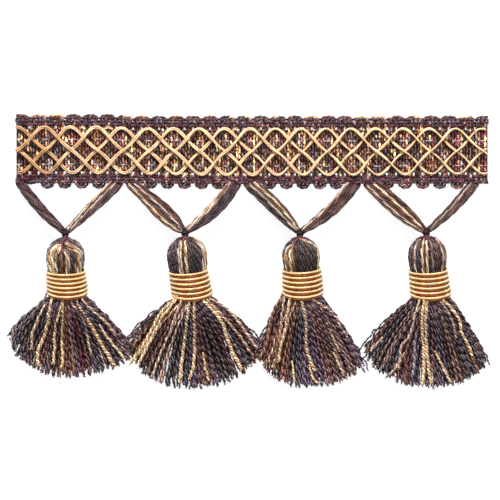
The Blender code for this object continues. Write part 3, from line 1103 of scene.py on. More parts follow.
# From the surface up.
LAYERS = (
    Layer(25, -4.9 * MM, 0.8 * MM, 1.00, 0.99, 1.3, 1.05 * MM),
    Layer(28, -2.5 * MM, 1.8 * MM, 1.00, 0.995, 1.25, 0.95 * MM),
    Layer(29, 0.0 * MM, 3.0 * MM, 1.00, 1.00, 1.12, 0.7 * MM),
    Layer(38, 2.5 * MM, 4.2 * MM, 0.95, 0.995, 0.82, 0.58 * MM),
    Layer(36, 4.9 * MM, 5.4 * MM, 0.84, 0.98, 0.8, 0.55 * MM),
)


@dataclass(frozen=True)
class Site:
    """Where a tassel hangs, and what sets it apart."""

    number: int  # 1 to 4 along the heading
    top: Pair  # x and y of its head's top
    head_radius: float  # the head's radius
    lean: float  # how far it leans, in degrees
    skirt: float  # the skirt's length in the middle
    fans: Pair  # its half fans to the left and right, in degrees
    sides: Pair  # the length of its outermost yarns, as shares of the middle ones
    # its yarns from left to right: (share of the fan where a block ends, its mix)
    blocks: tuple[tuple[float, Mix], ...]
    # bright yarns on the head: (turn in degrees from the front, tone, width)
    head_strands: tuple[tuple[float, Tone, float], ...]
    tie: Pair  # where the tie thread comes down the head: (turn in degrees, depth)
    accents: tuple[Accent, ...]  # bright strands on the skirt
    strays: tuple[int, int]  # loose strands at the left and right of the skirt
    edge: Mix = SHADE_MIX  # the yarns at the sides of its head; on the first tassel a pale mix that paints the sheen along its rim
    peak: float = 0.0  # the share of its fan where the skirt is longest
    drift: float = 0.0  # how far its collar's bottom lies to the right of its top
    crown: int = 2  # how many threads go round the top of its head
    head_length: float = 12.0 * MM  # from its head's top to its collar
    collar_length: float = 8.6 * MM  # from its collar's top to its bottom
    mixed: float = 0.2  # the share of its head's yarns that follow the blocks below

    def out(self, points: Line) -> Line:
        """Points in the tassel's own frame, put in their place under the heading.

        Args:
            points: The points.

        Returns:
            The same points in their place.
        """
        placed = turned(points, self.lean) + [*self.top, 0]
        placed[:, 0] += self.drift * np.clip((-points[:, 1] - self.head_length) / self.collar_length, 0, 1)
        return placed

    def mix_at(self, share: float) -> Mix:
        """The mix of the block that a yarn belongs to."""
        return next((mix for end, mix in self.blocks if share <= end), self.blocks[-1][1])


SITES = (
    Site(
        1, (-66.9 * MM, -31.4 * MM), 7.25 * MM, 0.7, 28.1 * MM, (49, 40), (0.73, 0.98),
        ((-0.7, NAVY_MIX), (-0.3, PLUM_MIX), (0.05, RUST_MIX), (0.3, PLUM_MIX), (0.55, NAVY_MIX),
         (0.8, PLUM_MIX), (1, SHADE_MIX)),
        ((-61, GOLD, 1.3), (-50, GOLD, 1.45), (-39, GOLD, 1.45), (-28, GOLD, 1.2),
         (-9, RUST, 1.0), (6, GOLD, 1.0), (13, ROSE, 1.0), (36, RUST, 1.2),
         (47, GOLD, 1.45), (57, GOLD, 1.1)),
        (-6, 5.4 * MM),
        (
            Accent(GOLD, 1.0, (-75.4, -58.3, -78.6, -66.1, -78.9, -71.9)),
            Accent(GOLD, 1.35, (-71.9, -55.2, -73.7, -65.0, -76.8, -72.8, -76.5, -77.7)),
            Accent(GOLD, 1.1, (-67.9, -55.4, -70.5, -65.0, -70.8, -71.9, -71.3, -77.2)),
            Accent(GOLD, 1.0, (-67.5, -55.4, -68.1, -69.0, -67.9, -73.4, -68.0, -78.7)),
            Accent(ROSE, 1.0, (-64.4, -55.4, -60.6, -60.4, -58.6, -69.0, -57.6, -74.3)),
            Accent(GOLD, 1.4, (-62.4, -55.4, -57.5, -63.3, -54.5, -69.0, -49.4, -77.7)),
            Accent(ROSE, 0.9, (-60.5, -54.2, -57.5, -57.4, -51.7, -62.7, -49.0, -66.4)),
            Accent(GOLD, 0.9, (-54.7, -62.8, -51.7, -67.6, -45.9, -74.8)),
            Accent(MAUVE, 0.9, (-74.2, -53.4, -76.8, -56.6, -79.6, -60.7)),
            Accent(MAUVE, 0.9, (-82.8, -60.7, -85.5, -65.0, -86.1, -69.6)),
            Accent(RUST, 0.9, (-64.4, -68.6, -64.1, -74.8, -63.8, -80.6)),
        ),
        (1, 3), RIM_SHEEN_MIX, 0.2, 0.6 * MM, 0, collar_length=7.9 * MM, mixed=0.75,
    ),
    Site(
        2, (-23.9 * MM, -31.3 * MM), 7.5 * MM, 4.5, 31.5 * MM, (51, 41), (0.74, 0.84),
        ((-0.55, TAN_MIX), (-0.1, NAVY_MIX), (0.15, PLUM_MIX), (0.5, NAVY_MIX), (1, PLUM_MIX)),
        ((-24, ROSE, 0.9), (-17, CREAM, 0.7), (-2, GOLD, 1.3), (57, ROSE, 1.0),
         (66, GOLD, 1.1), (78, RUST, 1.0)),
        (-9, 1.6 * MM),
        (
            Accent(GOLD, 1.2, (-28.2, -54.3, -32.8, -58.9, -35.9, -64.8, -39.9, -71.9, -44.2, -77.4)),
            Accent(GOLD, 1.0, (-27.2, -54.3, -31.8, -59.7, -34.8, -65.5, -38.1, -71.9, -41.0, -77.4)),
            Accent(GOLD, 1.3, (-22.4, -54.4, -23.9, -66.6, -25.2, -76.5, -26.1, -84.2)),
            Accent(GOLD, 1.2, (-20.7, -54.2, -20.6, -66.6, -20.8, -76.5, -22.4, -82.6)),
            Accent(GOLD, 1.4, (-17.3, -54.3, -11.3, -61.1, -9.1, -67.2, -6.7, -73.4, -3.6, -78.9)),
            Accent(ROSE, 1.0, (-16.0, -54.0, -8.5, -62.0, -3.0, -68.8, -0.7, -72.9)),
            Accent(ROSE, 1.0, (-15.7, -53.0, -7.6, -58.6, 1.9, -71.5)),
            Accent(ROSE, 1.0, (-25.3, -54.4, -27.6, -60.5, -29.5, -66.4)),
            Accent(GOLD, 0.9, (-17.6, -72.9, -16.6, -78.7, -15.5, -83.0)),
        ),
        (7, 3), drift=0.9 * MM,
    ),
    Site(
        3, (17.2 * MM, -31.4 * MM), 6.95 * MM, 2.6, 31.6 * MM, (31, 30), (0.67, 0.92),
        ((-0.6, RUST_MIX), (-0.3, PLUM_MIX), (0.0, NAVY_MIX), (0.4, SHADE_MIX), (1, PLUM_MIX)),
        ((-59, GOLD, 1.3), (-48, RUST, 1.4), (-37, GOLD, 1.4), (-26, RUST, 1.2),
         (70, CREAM, 0.9), (80, ROSE, 1.0)),
        (-20, 4.0 * MM),
        (
            Accent(RUST, 0.9, (9.8, -54.2, 7.8, -57.7, 6.2, -65.0)),
            Accent(RUST, 1.3, (10.1, -54.2, 7.7, -58.3, 6.2, -65.0, 5.0, -70.7, 2.2, -76.1)),
            Accent(GOLD, 1.1, (13.5, -53.7, 12.3, -60.9, 12.0, -65.0, 10.3, -70.8, 9.4, -76.6)),
            Accent(ROSE, 1.0, (11.4, -54.0, 10.6, -60.4, 10.3, -65.0, 9.4, -69.7)),
            Accent(RUST, 1.2, (9.7, -65.0, 9.4, -66.7, 8.8, -71.9, 8.5, -76.6, 7.9, -80.1)),
            Accent(GOLD, 1.35, (17.6, -53.9, 19.3, -61.5, 19.3, -69.0, 20.1, -73.7, 22.7, -80.0)),
            Accent(ROSE, 1.1, (21.6, -54.0, 25.6, -56.3, 29.7, -59.8, 32.0, -64.4, 34.3, -67.3)),
            Accent(GOLD, 0.9, (29.2, -72.9, 31.4, -77.7, 32.9, -81.2)),
            Accent(GOLD, 0.9, (14.4, -75.8, 14.9, -80.6, 15.2, -83.5)),
            Accent(GOLD, 1.0, (20.5, -77.2, 21.6, -81.5, 23.9, -84.4)),
            Accent(ROSE, 0.9, (26.6, -62.1, 29.7, -69.0, 31.7, -72.9)),
        ),
        (4, 3), peak=0.25, drift=0.2 * MM, head_length=11.35 * MM,
    ),
    Site(
        4, (62.5 * MM, -31.1 * MM), 7.25 * MM, 2.5, 31.3 * MM, (45, 28), (0.81, 0.86),
        ((-0.7, DARK_MIX), (-0.2, PLUM_MIX), (0.3, NAVY_MIX), (0.7, DARK_MIX), (1, NAVY_MIX)),
        ((-45, ROSE, 1.0), (-18, GOLD, 1.1), (-3, GOLD, 1.1), (13, MAUVE, 1.0),
         (54, ROSE, 1.0), (66, RUST, 1.0)),
        (0, 1.2 * MM),
        (
            Accent(GOLD, 1.3, (61.4, -53.9, 60.8, -60.9, 61.1, -67.3, 61.6, -72.5, 61.6, -76.6, 61.3, -84.7)),
            Accent(GOLD, 1.3, (62.6, -53.9, 62.1, -60.9, 62.3, -67.3, 62.7, -72.5, 63.3, -78.0, 64.2, -84.7)),
            Accent(ROSE, 1.0, (58.0, -58.5, 57.5, -63.3, 56.1, -67.3, 53.5, -70.8, 53.2, -74.8, 52.3, -78.9)),
            Accent(GOLD, 0.9, (59.8, -54.2, 58.4, -58.9, 57.7, -61.7)),
            Accent(PLUM, 1.2, (56.9, -67.1, 54.9, -74.8, 55.5, -79.2, 54.9, -84.2)),
            Accent(ROSE, 0.9, (54.7, -72.9, 51.2, -78.7, 48.4, -81.5)),
            Accent(GOLD, 1.15, (67.8, -53.6, 72.3, -58.3, 74.3, -61.8, 75.2, -66.1, 77.5, -70.2,
                               78.9, -74.2)),
            Accent(ROSE, 0.9, (66.6, -53.5, 69.8, -58.1, 72.0, -62.8, 73.1, -67.9)),
            Accent(RUST, 1.0, (77.0, -70.7, 80.1, -77.4, 81.0, -80.5)),
            Accent(GOLD, 1.0, (65.5, -72.2, 67.7, -76.6, 70.3, -82.0, 71.7, -83.7)),
            Accent(ROSE, 1.1, (46.9, -67.4, 44.7, -70.0, 42.6, -72.6)),
            Accent(LILAC, 1.1, (59.0, -65.0, 58.4, -69.9, 58.1, -77.7, 57.2, -82.2)),
            Accent(RUST, 0.9, (69.8, -53.1, 72.3, -55.2, 74.2, -58.1)),
        ),
        (5, 4), drift=0.6 * MM, crown=3,
    ),
)


@dataclass
class Tassel:
    """One tassel: the yarns over its head, its wound collar and its skirt.

    In its own frame the head's top is at the origin and the skirt hangs down -Y.
    """

    site: Site  # where it hangs and what sets it apart
    axis_height: float = 7.1 * MM  # over the surface
    dome_share: float = 0.6  # the dome's share of the head's length
    neck: Pair = (5.7 * MM, 6.1 * MM)  # the bound neck's radius at the top and the bottom of the collar
    # how far the rings lean forward at the collar's top, and how much more at its bottom
    slants: Pair = (0.2, 0.1)
    collar_turns: int = 6
    collar_radius: float = 0.39 * MM  # the radius of its cord
    collar_over: float = 1.55 * MM  # how far the collar's cord stands over the neck
    shade_strand_radius: float = 0.52 * MM  # the radius of the dark strand sunk between its turns, which paints the shade in the grooves
    satin: Colour = (242, 202, 144)
    # the colour of that sunk strand: painted shade between the turns
    thread: Colour = (136, 62, 0)
    flare_radius: float = 6.5 * MM  # the skirt's, where its yarns leave the collar
    roof_rise: float = 5.9 * MM  # its top yarns' height over the axis there, and over the surface at the hem
    head_yarns: int = 48
    head_yarn: float = 0.98 * MM
    yarn: Yarn = Yarn(1.25 * MM, ply_share=0.28)
    rng: Shuffle = field(init=False)

    def __post_init__(self) -> None:
        """Sets the tassel's own shuffle."""
        self.rng = Shuffle(TASSEL_SEED + self.site.number)

    @property
    def exit_depth(self) -> float:
        """Where the skirt's yarns come out, below the head's top."""
        return self.site.head_length + self.site.collar_length + 1.8 * MM

    def build(self) -> None:
        """Makes every piece of the tassel."""
        node = f"tassel_{self.site.number}"
        cloth = BackingFinish(f"core_{self.site.number}").material()
        add_piece(self._core(), cloth, node)
        for mesh in (self._head(), self._skirt()):
            add_piece(mesh, YARN_FINISH.material(), node)
        add_piece(self._collar(), COLLAR_FINISH.material(), f"collar_{self.site.number}")

    def _round(self, radius: np.ndarray, depth: np.ndarray, angle: Amount) -> Line:
        """Points round the axis, by radius, depth below the head's top and angle from the front."""
        return np.stack([radius * np.sin(angle), -depth, self.axis_height + radius * np.cos(angle)], axis=1)

    def _place(self, points: Line, least: float = 0.4 * MM) -> Line:
        """Points of the tassel's own frame in their place.

        Args:
            points: The points.
            least: How high over the surface they stay.

        Returns:
            The same points where they lie, on rings that lean forward.
        """
        head, made = self.site.head_length, points.copy()
        depth = -points[:, 1]
        upper = self.slants[0] * (np.clip(depth, 0, head) / head) ** 2
        share = np.clip((depth - head) / self.site.collar_length, 0, 1)
        slant = np.where(depth < head, upper, self.slants[0] + self.slants[1] * share)
        made[:, 2] = np.maximum(made[:, 2], least)
        made[:, 1] -= slant * (made[:, 2] - self.axis_height)
        return self.site.out(made)

    def _head_radius_at(self, depth: np.ndarray) -> np.ndarray:
        """The head's outer radius at a depth below its top.

        Args:
            depth: The depths.

        Returns:
            A radius for each.
        """
        radius, head = self.site.head_radius, self.site.head_length
        dome = self.dome_share * head
        widths = [radius, 0.97 * radius, 0.9 * radius, self.neck[0] + 0.6 * MM]
        side = np.interp(depth, [dome, 0.85 * head, head, head + 0.6 * MM], widths)
        cap = radius * np.sqrt(np.clip(1 - (1 - depth / dome) ** 2, 0, 1))
        return np.where(depth < dome, cap, side)

    def _core(self) -> Mesh:
        """The turned core under the yarns, from the head to inside the skirt.

        Returns:
            Its mesh.
        """
        head, out = self.site.head_length, self.exit_depth
        dome = self.dome_share * head * (1 - np.cos(np.linspace(0.12, 1, 8) * math.pi / 2))
        depths = np.concatenate([dome, np.linspace(0.7, 1.0, 4) * head])
        rows = list(zip(self._head_radius_at(depths) - 0.85 * MM, depths))
        rows += [(self.neck[0] - 0.2 * MM, head + 1 * MM), (self.neck[1] - 0.4 * MM, out - 1.4 * MM),
                 (self.neck[1] - 0.6 * MM, out + 0.2 * MM), (3.5 * MM, out + 2.1 * MM)]
        rows = [(max(radius, 0.3 * MM), depth) for radius, depth in rows]
        rows = [(0.0, rows[0][1]), *rows, (0.0, rows[-1][1])]
        bm = bmesh.new()
        verts = [bm.verts.new((0, -depth, self.axis_height + radius)) for radius, depth in rows]
        edges = [bm.edges.new(pair) for pair in zip(verts, verts[1:])]
        bmesh.ops.spin(bm, geom=verts + edges, cent=(0, 0, self.axis_height), axis=(0, 1, 0),
                       angle=TAU, steps=32, use_merge=True)
        bmesh.ops.remove_doubles(bm, verts=bm.verts, dist=0.01 * MM)
        bmesh.ops.recalc_face_normals(bm, faces=bm.faces)
        for vert, place in zip(bm.verts, self._place(np.array([v.co for v in bm.verts]))):
            vert.co = place
        mesh = mesh_of(bm, f"tassel_{self.site.number}_core")
        mesh.shade_smooth()
        return mesh

    def _meridian(self, turn: float, start: float, lift: float, gather: float = 0.0) -> Line:
        """A yarn's way down the head, from near its top to under the collar.

        Args:
            turn: Its angle from the front, in radians.
            start: The depth where it begins.
            lift: How far it lies above the others.
            gather: How much it starts turned towards the tie thread, from 0 to 1.

        Returns:
            Its middle line in the tassel's own frame.
        """
        end, share = self.site.head_length + 1.2 * MM, np.linspace(0, 1, 40)
        depth = start + (end - start) * (1 - np.cos(share * math.pi / 2))
        radius = np.maximum(self._head_radius_at(depth) - 0.5 * self.yarn.width + lift, 0.35 * MM)
        tie = math.radians(self.site.tie[0])
        angle = tie + (turn - tie) * (1 - gather * (1 - ease(share / 0.55)))
        return evenly(self._round(radius, depth, angle), self.yarn.step)

    def _on_head(self, spool: Spool, line: Line, yarn: Yarn, tone: Tone, dark: float) -> None:
        """Lays one yarn over the head, narrower where the yarns crowd together at the top.

        Args:
            spool: What it is laid on.
            line: Its middle line in the tassel's own frame.
            yarn: What it is made of.
            tone: Its colour.
            dark: How much darker it is down by the collar.
        """
        depth = -line[:, 1]
        away = turned(line - [0, -6 * MM, self.axis_height], self.site.lean)
        scale = np.clip(self._head_radius_at(depth) / self.site.head_radius * 1.1, 0.45, 1.0)
        shade = 1 - dark * (0.3 + 0.7 * ease((depth[:, None] - 3 * MM) / (8 * MM)))
        placed = self._place(line, 0.6 * self.yarn.width)
        spool.lay_yarn(yarn, placed, tone, self.rng, unit(away), scale, shade=shade, spread=0.8)

    def _head(self) -> Mesh:
        """The yarns over the head, its bright strands and the threads on its top.

        Returns:
            Their mesh.
        """
        site, rng = self.site, self.rng
        spool = Spool(f"tassel_{site.number}_head")
        bright = [math.radians(turn) for turn, _, _ in site.head_strands]
        tie_turn, tie_depth = site.tie
        gathered = tie_depth > 3 * MM
        for number in range(self.head_yarns):
            turn = TAU * number / self.head_yarns + rng.uniform(-0.02, 0.02)
            turn = (turn + math.pi) % TAU - math.pi
            if not gathered and any(abs(turn - other) < 0.07 for other in bright):
                continue
            share = math.sin(turn) if abs(turn) < math.pi / 2 else math.copysign(1, turn)
            mix = site.mix_at(share) if rng.random() < site.mixed else NAVY_MIX
            # The sides of the head take the site's edge mix, which on the first tassel is a painted rim
            # sheen.
            if 1.1 < abs(turn) < 2.0:
                mix = site.edge
            start = (0.3 + 0.5 * (number % 3)) * MM
            line = self._meridian(turn, start, rng.uniform(-0.1, 0.08) * MM)
            if abs(turn) > 2.0:  # the underside takes fewer rings
                line = evenly(line, 0.9 * MM)
            yarn = replace(self.yarn, width=self.head_yarn, lay=rng.uniform(2.8, 4.0) * MM)
            # The painted rim sheen darkens less towards the collar than the other yarns.
            self._on_head(spool, line, yarn, mix.pick(rng), 0.3 if mix is RIM_SHEEN_MIX else 0.66)
        for turn, tone, width in site.head_strands:
            yarn = Yarn(1.1 * MM * width, 7.0 * MM, ply_share=0.29)
            start = max(tie_depth * (0.95 - 0.5 * (abs(turn - tie_turn) / 60)), 0.5 * MM)
            line = self._meridian(math.radians(turn), start, 0.15 * MM, 0.85 if gathered else 0.0)
            self._on_head(spool, line, yarn, tone, 0.28)
        for turn in (-3, 3):
            depth = np.linspace(-0.2 * MM, tie_depth, 14)
            radius = self._head_radius_at(np.maximum(depth, 0.05 * MM)) + 0.25 * MM
            points = self._round(radius, depth, math.radians(tie_turn))
            points[:, 0] *= np.clip(depth / (1.5 * MM), 0, 1)
            points[:, 0] += 0.35 * MM * np.sin(depth / (1.6 * MM) + turn)
            spool.lay_strand(self._place(evenly(points, 0.4 * MM)), 0.42 * MM, WINE.ply(turn > 0))
        for number, tone in enumerate((WINE, PLUM, WINE)[: site.crown]):
            angle = np.linspace(-2.2, 2.2, 30) + rng.uniform(-0.3, 0.3)
            depth = (0.3 + 0.33 * number) * MM + 0.12 * MM * np.sin(3 * angle)
            points = self._round(self._head_radius_at(depth) * 0.92 + 0.2 * MM, depth, angle)
            spool.lay_strand(self._place(points), 0.3 * MM, tone.ply(0, 0.6))
        return spool.skin()

    def _collar(self) -> Mesh:
        """Six turns of satin cord round the neck, with a dark strand sunk between them that paints the shade
        in the grooves.

        Returns:
            Their mesh.
        """
        spool = Spool(f"collar_{self.site.number}_cord", 1)
        turns, length = self.collar_turns, self.site.collar_length
        pitch = (length - 2 * self.collar_radius) / (turns - 1)
        # The second pass lays the sunk dark strand, a painted shade between the turns.
        for shift, thick, sink, shade in ((0.0, self.collar_radius, 0.0, self.satin),
                                          (0.5, self.shade_strand_radius, 0.34 * MM, self.thread)):
            angle = np.linspace(0, TAU * turns, 56 * turns + 1) + math.pi
            turn = (angle - math.pi) / TAU
            step = np.minimum(np.floor(turn) + ease((turn % 1 - 0.86) / 0.14), turns - 1)
            depth = self.site.head_length + self.collar_radius + pitch * (step + shift)
            share = (depth - self.site.head_length) / length
            neck = self.neck[0] + (self.neck[1] - self.neck[0]) * share
            sunk = ease((turn - turns + 0.12) / 0.12) + ease((0.12 - turn) / 0.12)
            radius = neck + self.collar_over - thick - sink - sunk * 0.7 * MM
            placed = self._place(self._round(radius, depth, angle), thick)
            waver = np.array([self.rng.uniform(0.97, 1.03) for _ in placed])
            spool.lay_strand(placed, thick, to_linear(shade) * waver[:, None])
        return spool.skin()

    def _path(self, layer: Layer, share: float, length: float, rise: float) -> Line:
        """A skirt yarn's way from inside the collar to the hem.

        Args:
            layer: The layer that it belongs to.
            share: Its place across the layer, from -1 to 1.
            length: Its length below the collar.
            rise: How far it lies over the rest of its layer.

        Returns:
            Its middle line in the tassel's own frame.
        """
        site, root_rise = self.site, layer.root_rise + rise
        right = share > 0
        chord = math.sqrt(max(self.flare_radius**2 - root_rise**2, 1e-6))
        angle = math.radians(site.fans[right]) * layer.fan * share
        peak = site.peak if share > site.peak else -site.peak
        length *= 1 - (1 - site.sides[right]) * (abs(share - site.peak) / (1 - peak)) ** 3.5
        leave = np.array([chord * share, -self.exit_depth - 0.3 * root_rise, self.axis_height + root_rise])
        root = leave * [0, 1, 0] + [0.78 * chord * share, 2.0 * MM, self.axis_height + root_rise * 0.8]
        start, way, end = (np.array([math.sin(bend * angle), -math.cos(bend * angle), 0])
                           for bend in (1.15, 1.0, 0.7))
        hem = leave + length * way
        t = np.linspace(0, 1, 24)[:, None]
        curve = (1 - t) ** 3 * leave + 3 * t * (1 - t) ** 2 * (leave + start * length / 3)
        curve = curve + 3 * t**2 * (1 - t) * (hem - end * length / 3) + t**3 * hem
        floor = layer.hem_height + 0.5 * rise
        curve[:, 2] = leave[2] + (floor - leave[2]) * ease(t[:, 0] / 0.75)
        return np.vstack([root, curve])

    def _skirt(self) -> Mesh:
        """Every yarn of the skirt, its bright strands and its strays.

        Returns:
            Their mesh.
        """
        spool, rng = Spool(f"tassel_{self.site.number}_skirt"), self.rng
        for layer in LAYERS:
            left = 0
            for number in range(layer.yarns):
                share = 2 * (number + 0.5) / layer.yarns - 1
                share = float(np.clip(share + rng.uniform(-0.025, 0.025), -1, 1))
                if left == 0:
                    tone, left = self.site.mix_at(share).pick(rng), rng.choice((1, 1, 2, 2, 3))
                left -= 1
                length = self.site.skirt * layer.length * (1 + rng.uniform(-0.025, 0.015))
                rise = (0.6 if number % 2 else -0.6) * MM + rng.uniform(-0.15, 0.15) * MM
                path = self._path(layer, share, length, rise)
                if layer in LAYERS[1:3] and abs(share) < 0.7:
                    path = path[10:]  # the rest of it is buried between the layers
                self._lay(spool, self.site.out(path), tone, layer.step, layer.width)
        self._strays(spool)
        for accent in self.site.accents:
            self._accent(spool, accent)
        return spool.skin()

    def _lay(self, spool: Spool, path: Line, tone: Tone, step: float, width: float,
             kink: float = 0.19, spread: float = 1.0) -> None:
        """Lays one loose yarn: crinkled, narrower in the collar's grip and frayed at its cut end.

        Args:
            spool: What it is laid on.
            path: Its middle line.
            tone: Its colour.
            step: The distance between the rings of its skin.
            width: How wide it is, against the tassel's yarn.
            kink: How far its kinks reach, in mm.
            spread: How far its plies' colours part.
        """
        rng = self.rng
        line = crinkled(evenly(path, step), kink * MM, (2.9 * MM, 8 * MM), rng)
        line[:, 2] = np.maximum(line[:, 2], 0.56 * self.yarn.width * width)
        scale = 0.72 + 0.28 * ease(travelled(line) / (7 * MM))
        yarn = replace(self.yarn, width=self.yarn.width * width, lay=rng.uniform(2.4, 3.4) * MM)
        parting = rng.uniform(0.1, 0.6)
        spool.lay_yarn(yarn, line, tone, rng, scale=scale, parting=parting, spread=spread)

    def _accent(self, spool: Spool, accent: Accent) -> None:
        """Lays one bright strand over the skirt, at the height of the top yarns where it passes.

        Args:
            spool: What it is laid on.
            accent: The strand.
        """
        flat = np.reshape(accent.knots, (-1, 2)) * MM
        line = through(np.pad(flat, ((0, 0), (0, 1))), 0.6 * MM)
        own = turned(line - [*self.site.top, 0], -self.site.lean)
        line[:, 2] = self._roof(own[:, 0], own[:, 1]) + 0.7 * MM
        if -own[0, 1] < 27 * MM:  # it starts inside the collar
            x, y, z = line[0]
            line = np.vstack([[x * 0.85 + self.site.top[0] * 0.15, y + 2.6 * MM, z - 1.2 * MM], line])
        self._lay(spool, line, accent.tone, 0.46 * MM, 0.98 * accent.width, 0.12, 0.7)

    def _roof(self, x: np.ndarray, y: np.ndarray) -> np.ndarray:
        """The height of the skirt's top yarns at a place in the tassel's own frame.

        Args:
            x: Where it is across the tassel.
            y: Where it is along it.

        Returns:
            The height.
        """
        gone = np.maximum(-y - self.exit_depth + 1.5 * MM, 0.0)
        half = self.flare_radius + gone * math.tan(math.radians(max(self.site.fans)) * 0.9)
        across = np.clip(np.abs(x) / half, 0, 1)
        root = self.axis_height + np.sqrt(np.clip(1 - across**2, 0.02, 1)) * self.roof_rise
        hem = self.roof_rise - 3.0 * MM * np.clip((across - 0.75) / 0.25, 0, 1)
        return root + (hem - root) * ease(gone / (0.75 * self.site.skirt))

    def _strays(self, spool: Spool) -> None:
        """Lays the loose, kinked strands beside the skirt, with gaps between them.

        Args:
            spool: What they are laid on.
        """
        rng = self.rng
        for side, count in zip((-1, 1), self.site.strays):
            for number in range(count):
                share = side * (1.0 + 0.011 * number + rng.uniform(-0.03, 0.02))
                layer = LAYERS[1 + number % 3]
                length = self.site.skirt * rng.uniform(0.95, 1.12)
                path = self.site.out(self._path(layer, share, length, 0.0))
                self._lay(spool, path, NAVY_MIX.pick(rng), 0.5 * MM, 0.7, 0.34)


@dataclass
class Knot:
    """The thread wound about a tassel's two bundles, and the ring of pinched yarns inside it."""

    site: Site
    half_width: float = 1.28 * MM
    half_length: float = 0.95 * MM
    thread: float = 0.26 * MM  # the radius of the thread
    turns: int = 4
    height: float = 7.1 * MM  # its middle's, over the surface
    inner: float = 0.8 * MM  # the radius of the ring of pinched yarns
    yarns: int = 9

    def centre(self) -> np.ndarray:
        """The middle of the knot, on the head's top.

        Returns:
            Its place.
        """
        lean = math.radians(self.site.lean)
        rise = self.half_length + 0.3 * MM
        x, y = self.site.top
        return np.array([x - rise * math.sin(lean), y + rise * math.cos(lean), self.height])

    def build(self) -> None:
        """Makes the windings and the pinched yarns inside them."""
        rng = Shuffle(KNOT_SEED + self.site.number)
        spool = Spool(f"knot_{self.site.number}_winding", 1)
        angle = np.linspace(0, TAU * self.turns, 24 * self.turns + 1)
        share = np.linspace(-1, 1, len(angle))
        radius = (self.half_width - self.thread) * np.sqrt(1 - 0.25 * share**2)
        along = share * (self.half_length - self.thread) + 0.12 * MM * np.sin(angle * 1.7)
        coils = [(radius, along, angle, PLUM)]
        for cross in (-1, 1):
            turn = np.linspace(-1.2, 1.2, 16)
            coils.append((self.half_width, cross * 0.6 * self.half_length * np.sin(turn), turn, BLACK))
        for radius, along, angle, tone in coils:
            coil = np.stack([radius * np.sin(angle), along, radius * np.cos(angle)], axis=1)
            spool.lay_strand(self._place(coil), self.thread, tone.ply(0))
        for number in range(self.yarns):
            a, inner = TAU * number / self.yarns, self.inner
            ends = [(inner * 0.9 * math.sin(a), -1.5 * MM, inner * math.cos(a)),
                    (inner * 0.8 * math.sin(a + 0.3), 0, inner * 0.8 * math.cos(a + 0.3)),
                    (inner * 1.2 * math.sin(a + 0.6), 1.5 * MM, inner * math.cos(a + 0.6))]
            spool.lay_strand(self._place(through(ends, 0.4 * MM)), 0.5 * MM, NAVY_MIX.pick(rng).ply(0))
        add_piece(spool.skin(), THREAD_FINISH.material(), f"knot_{self.site.number}")

    def _place(self, points: Line) -> Line:
        """Points round the knot's own middle, put in their place."""
        return turned(points, self.site.lean) + self.centre()


# Bundles


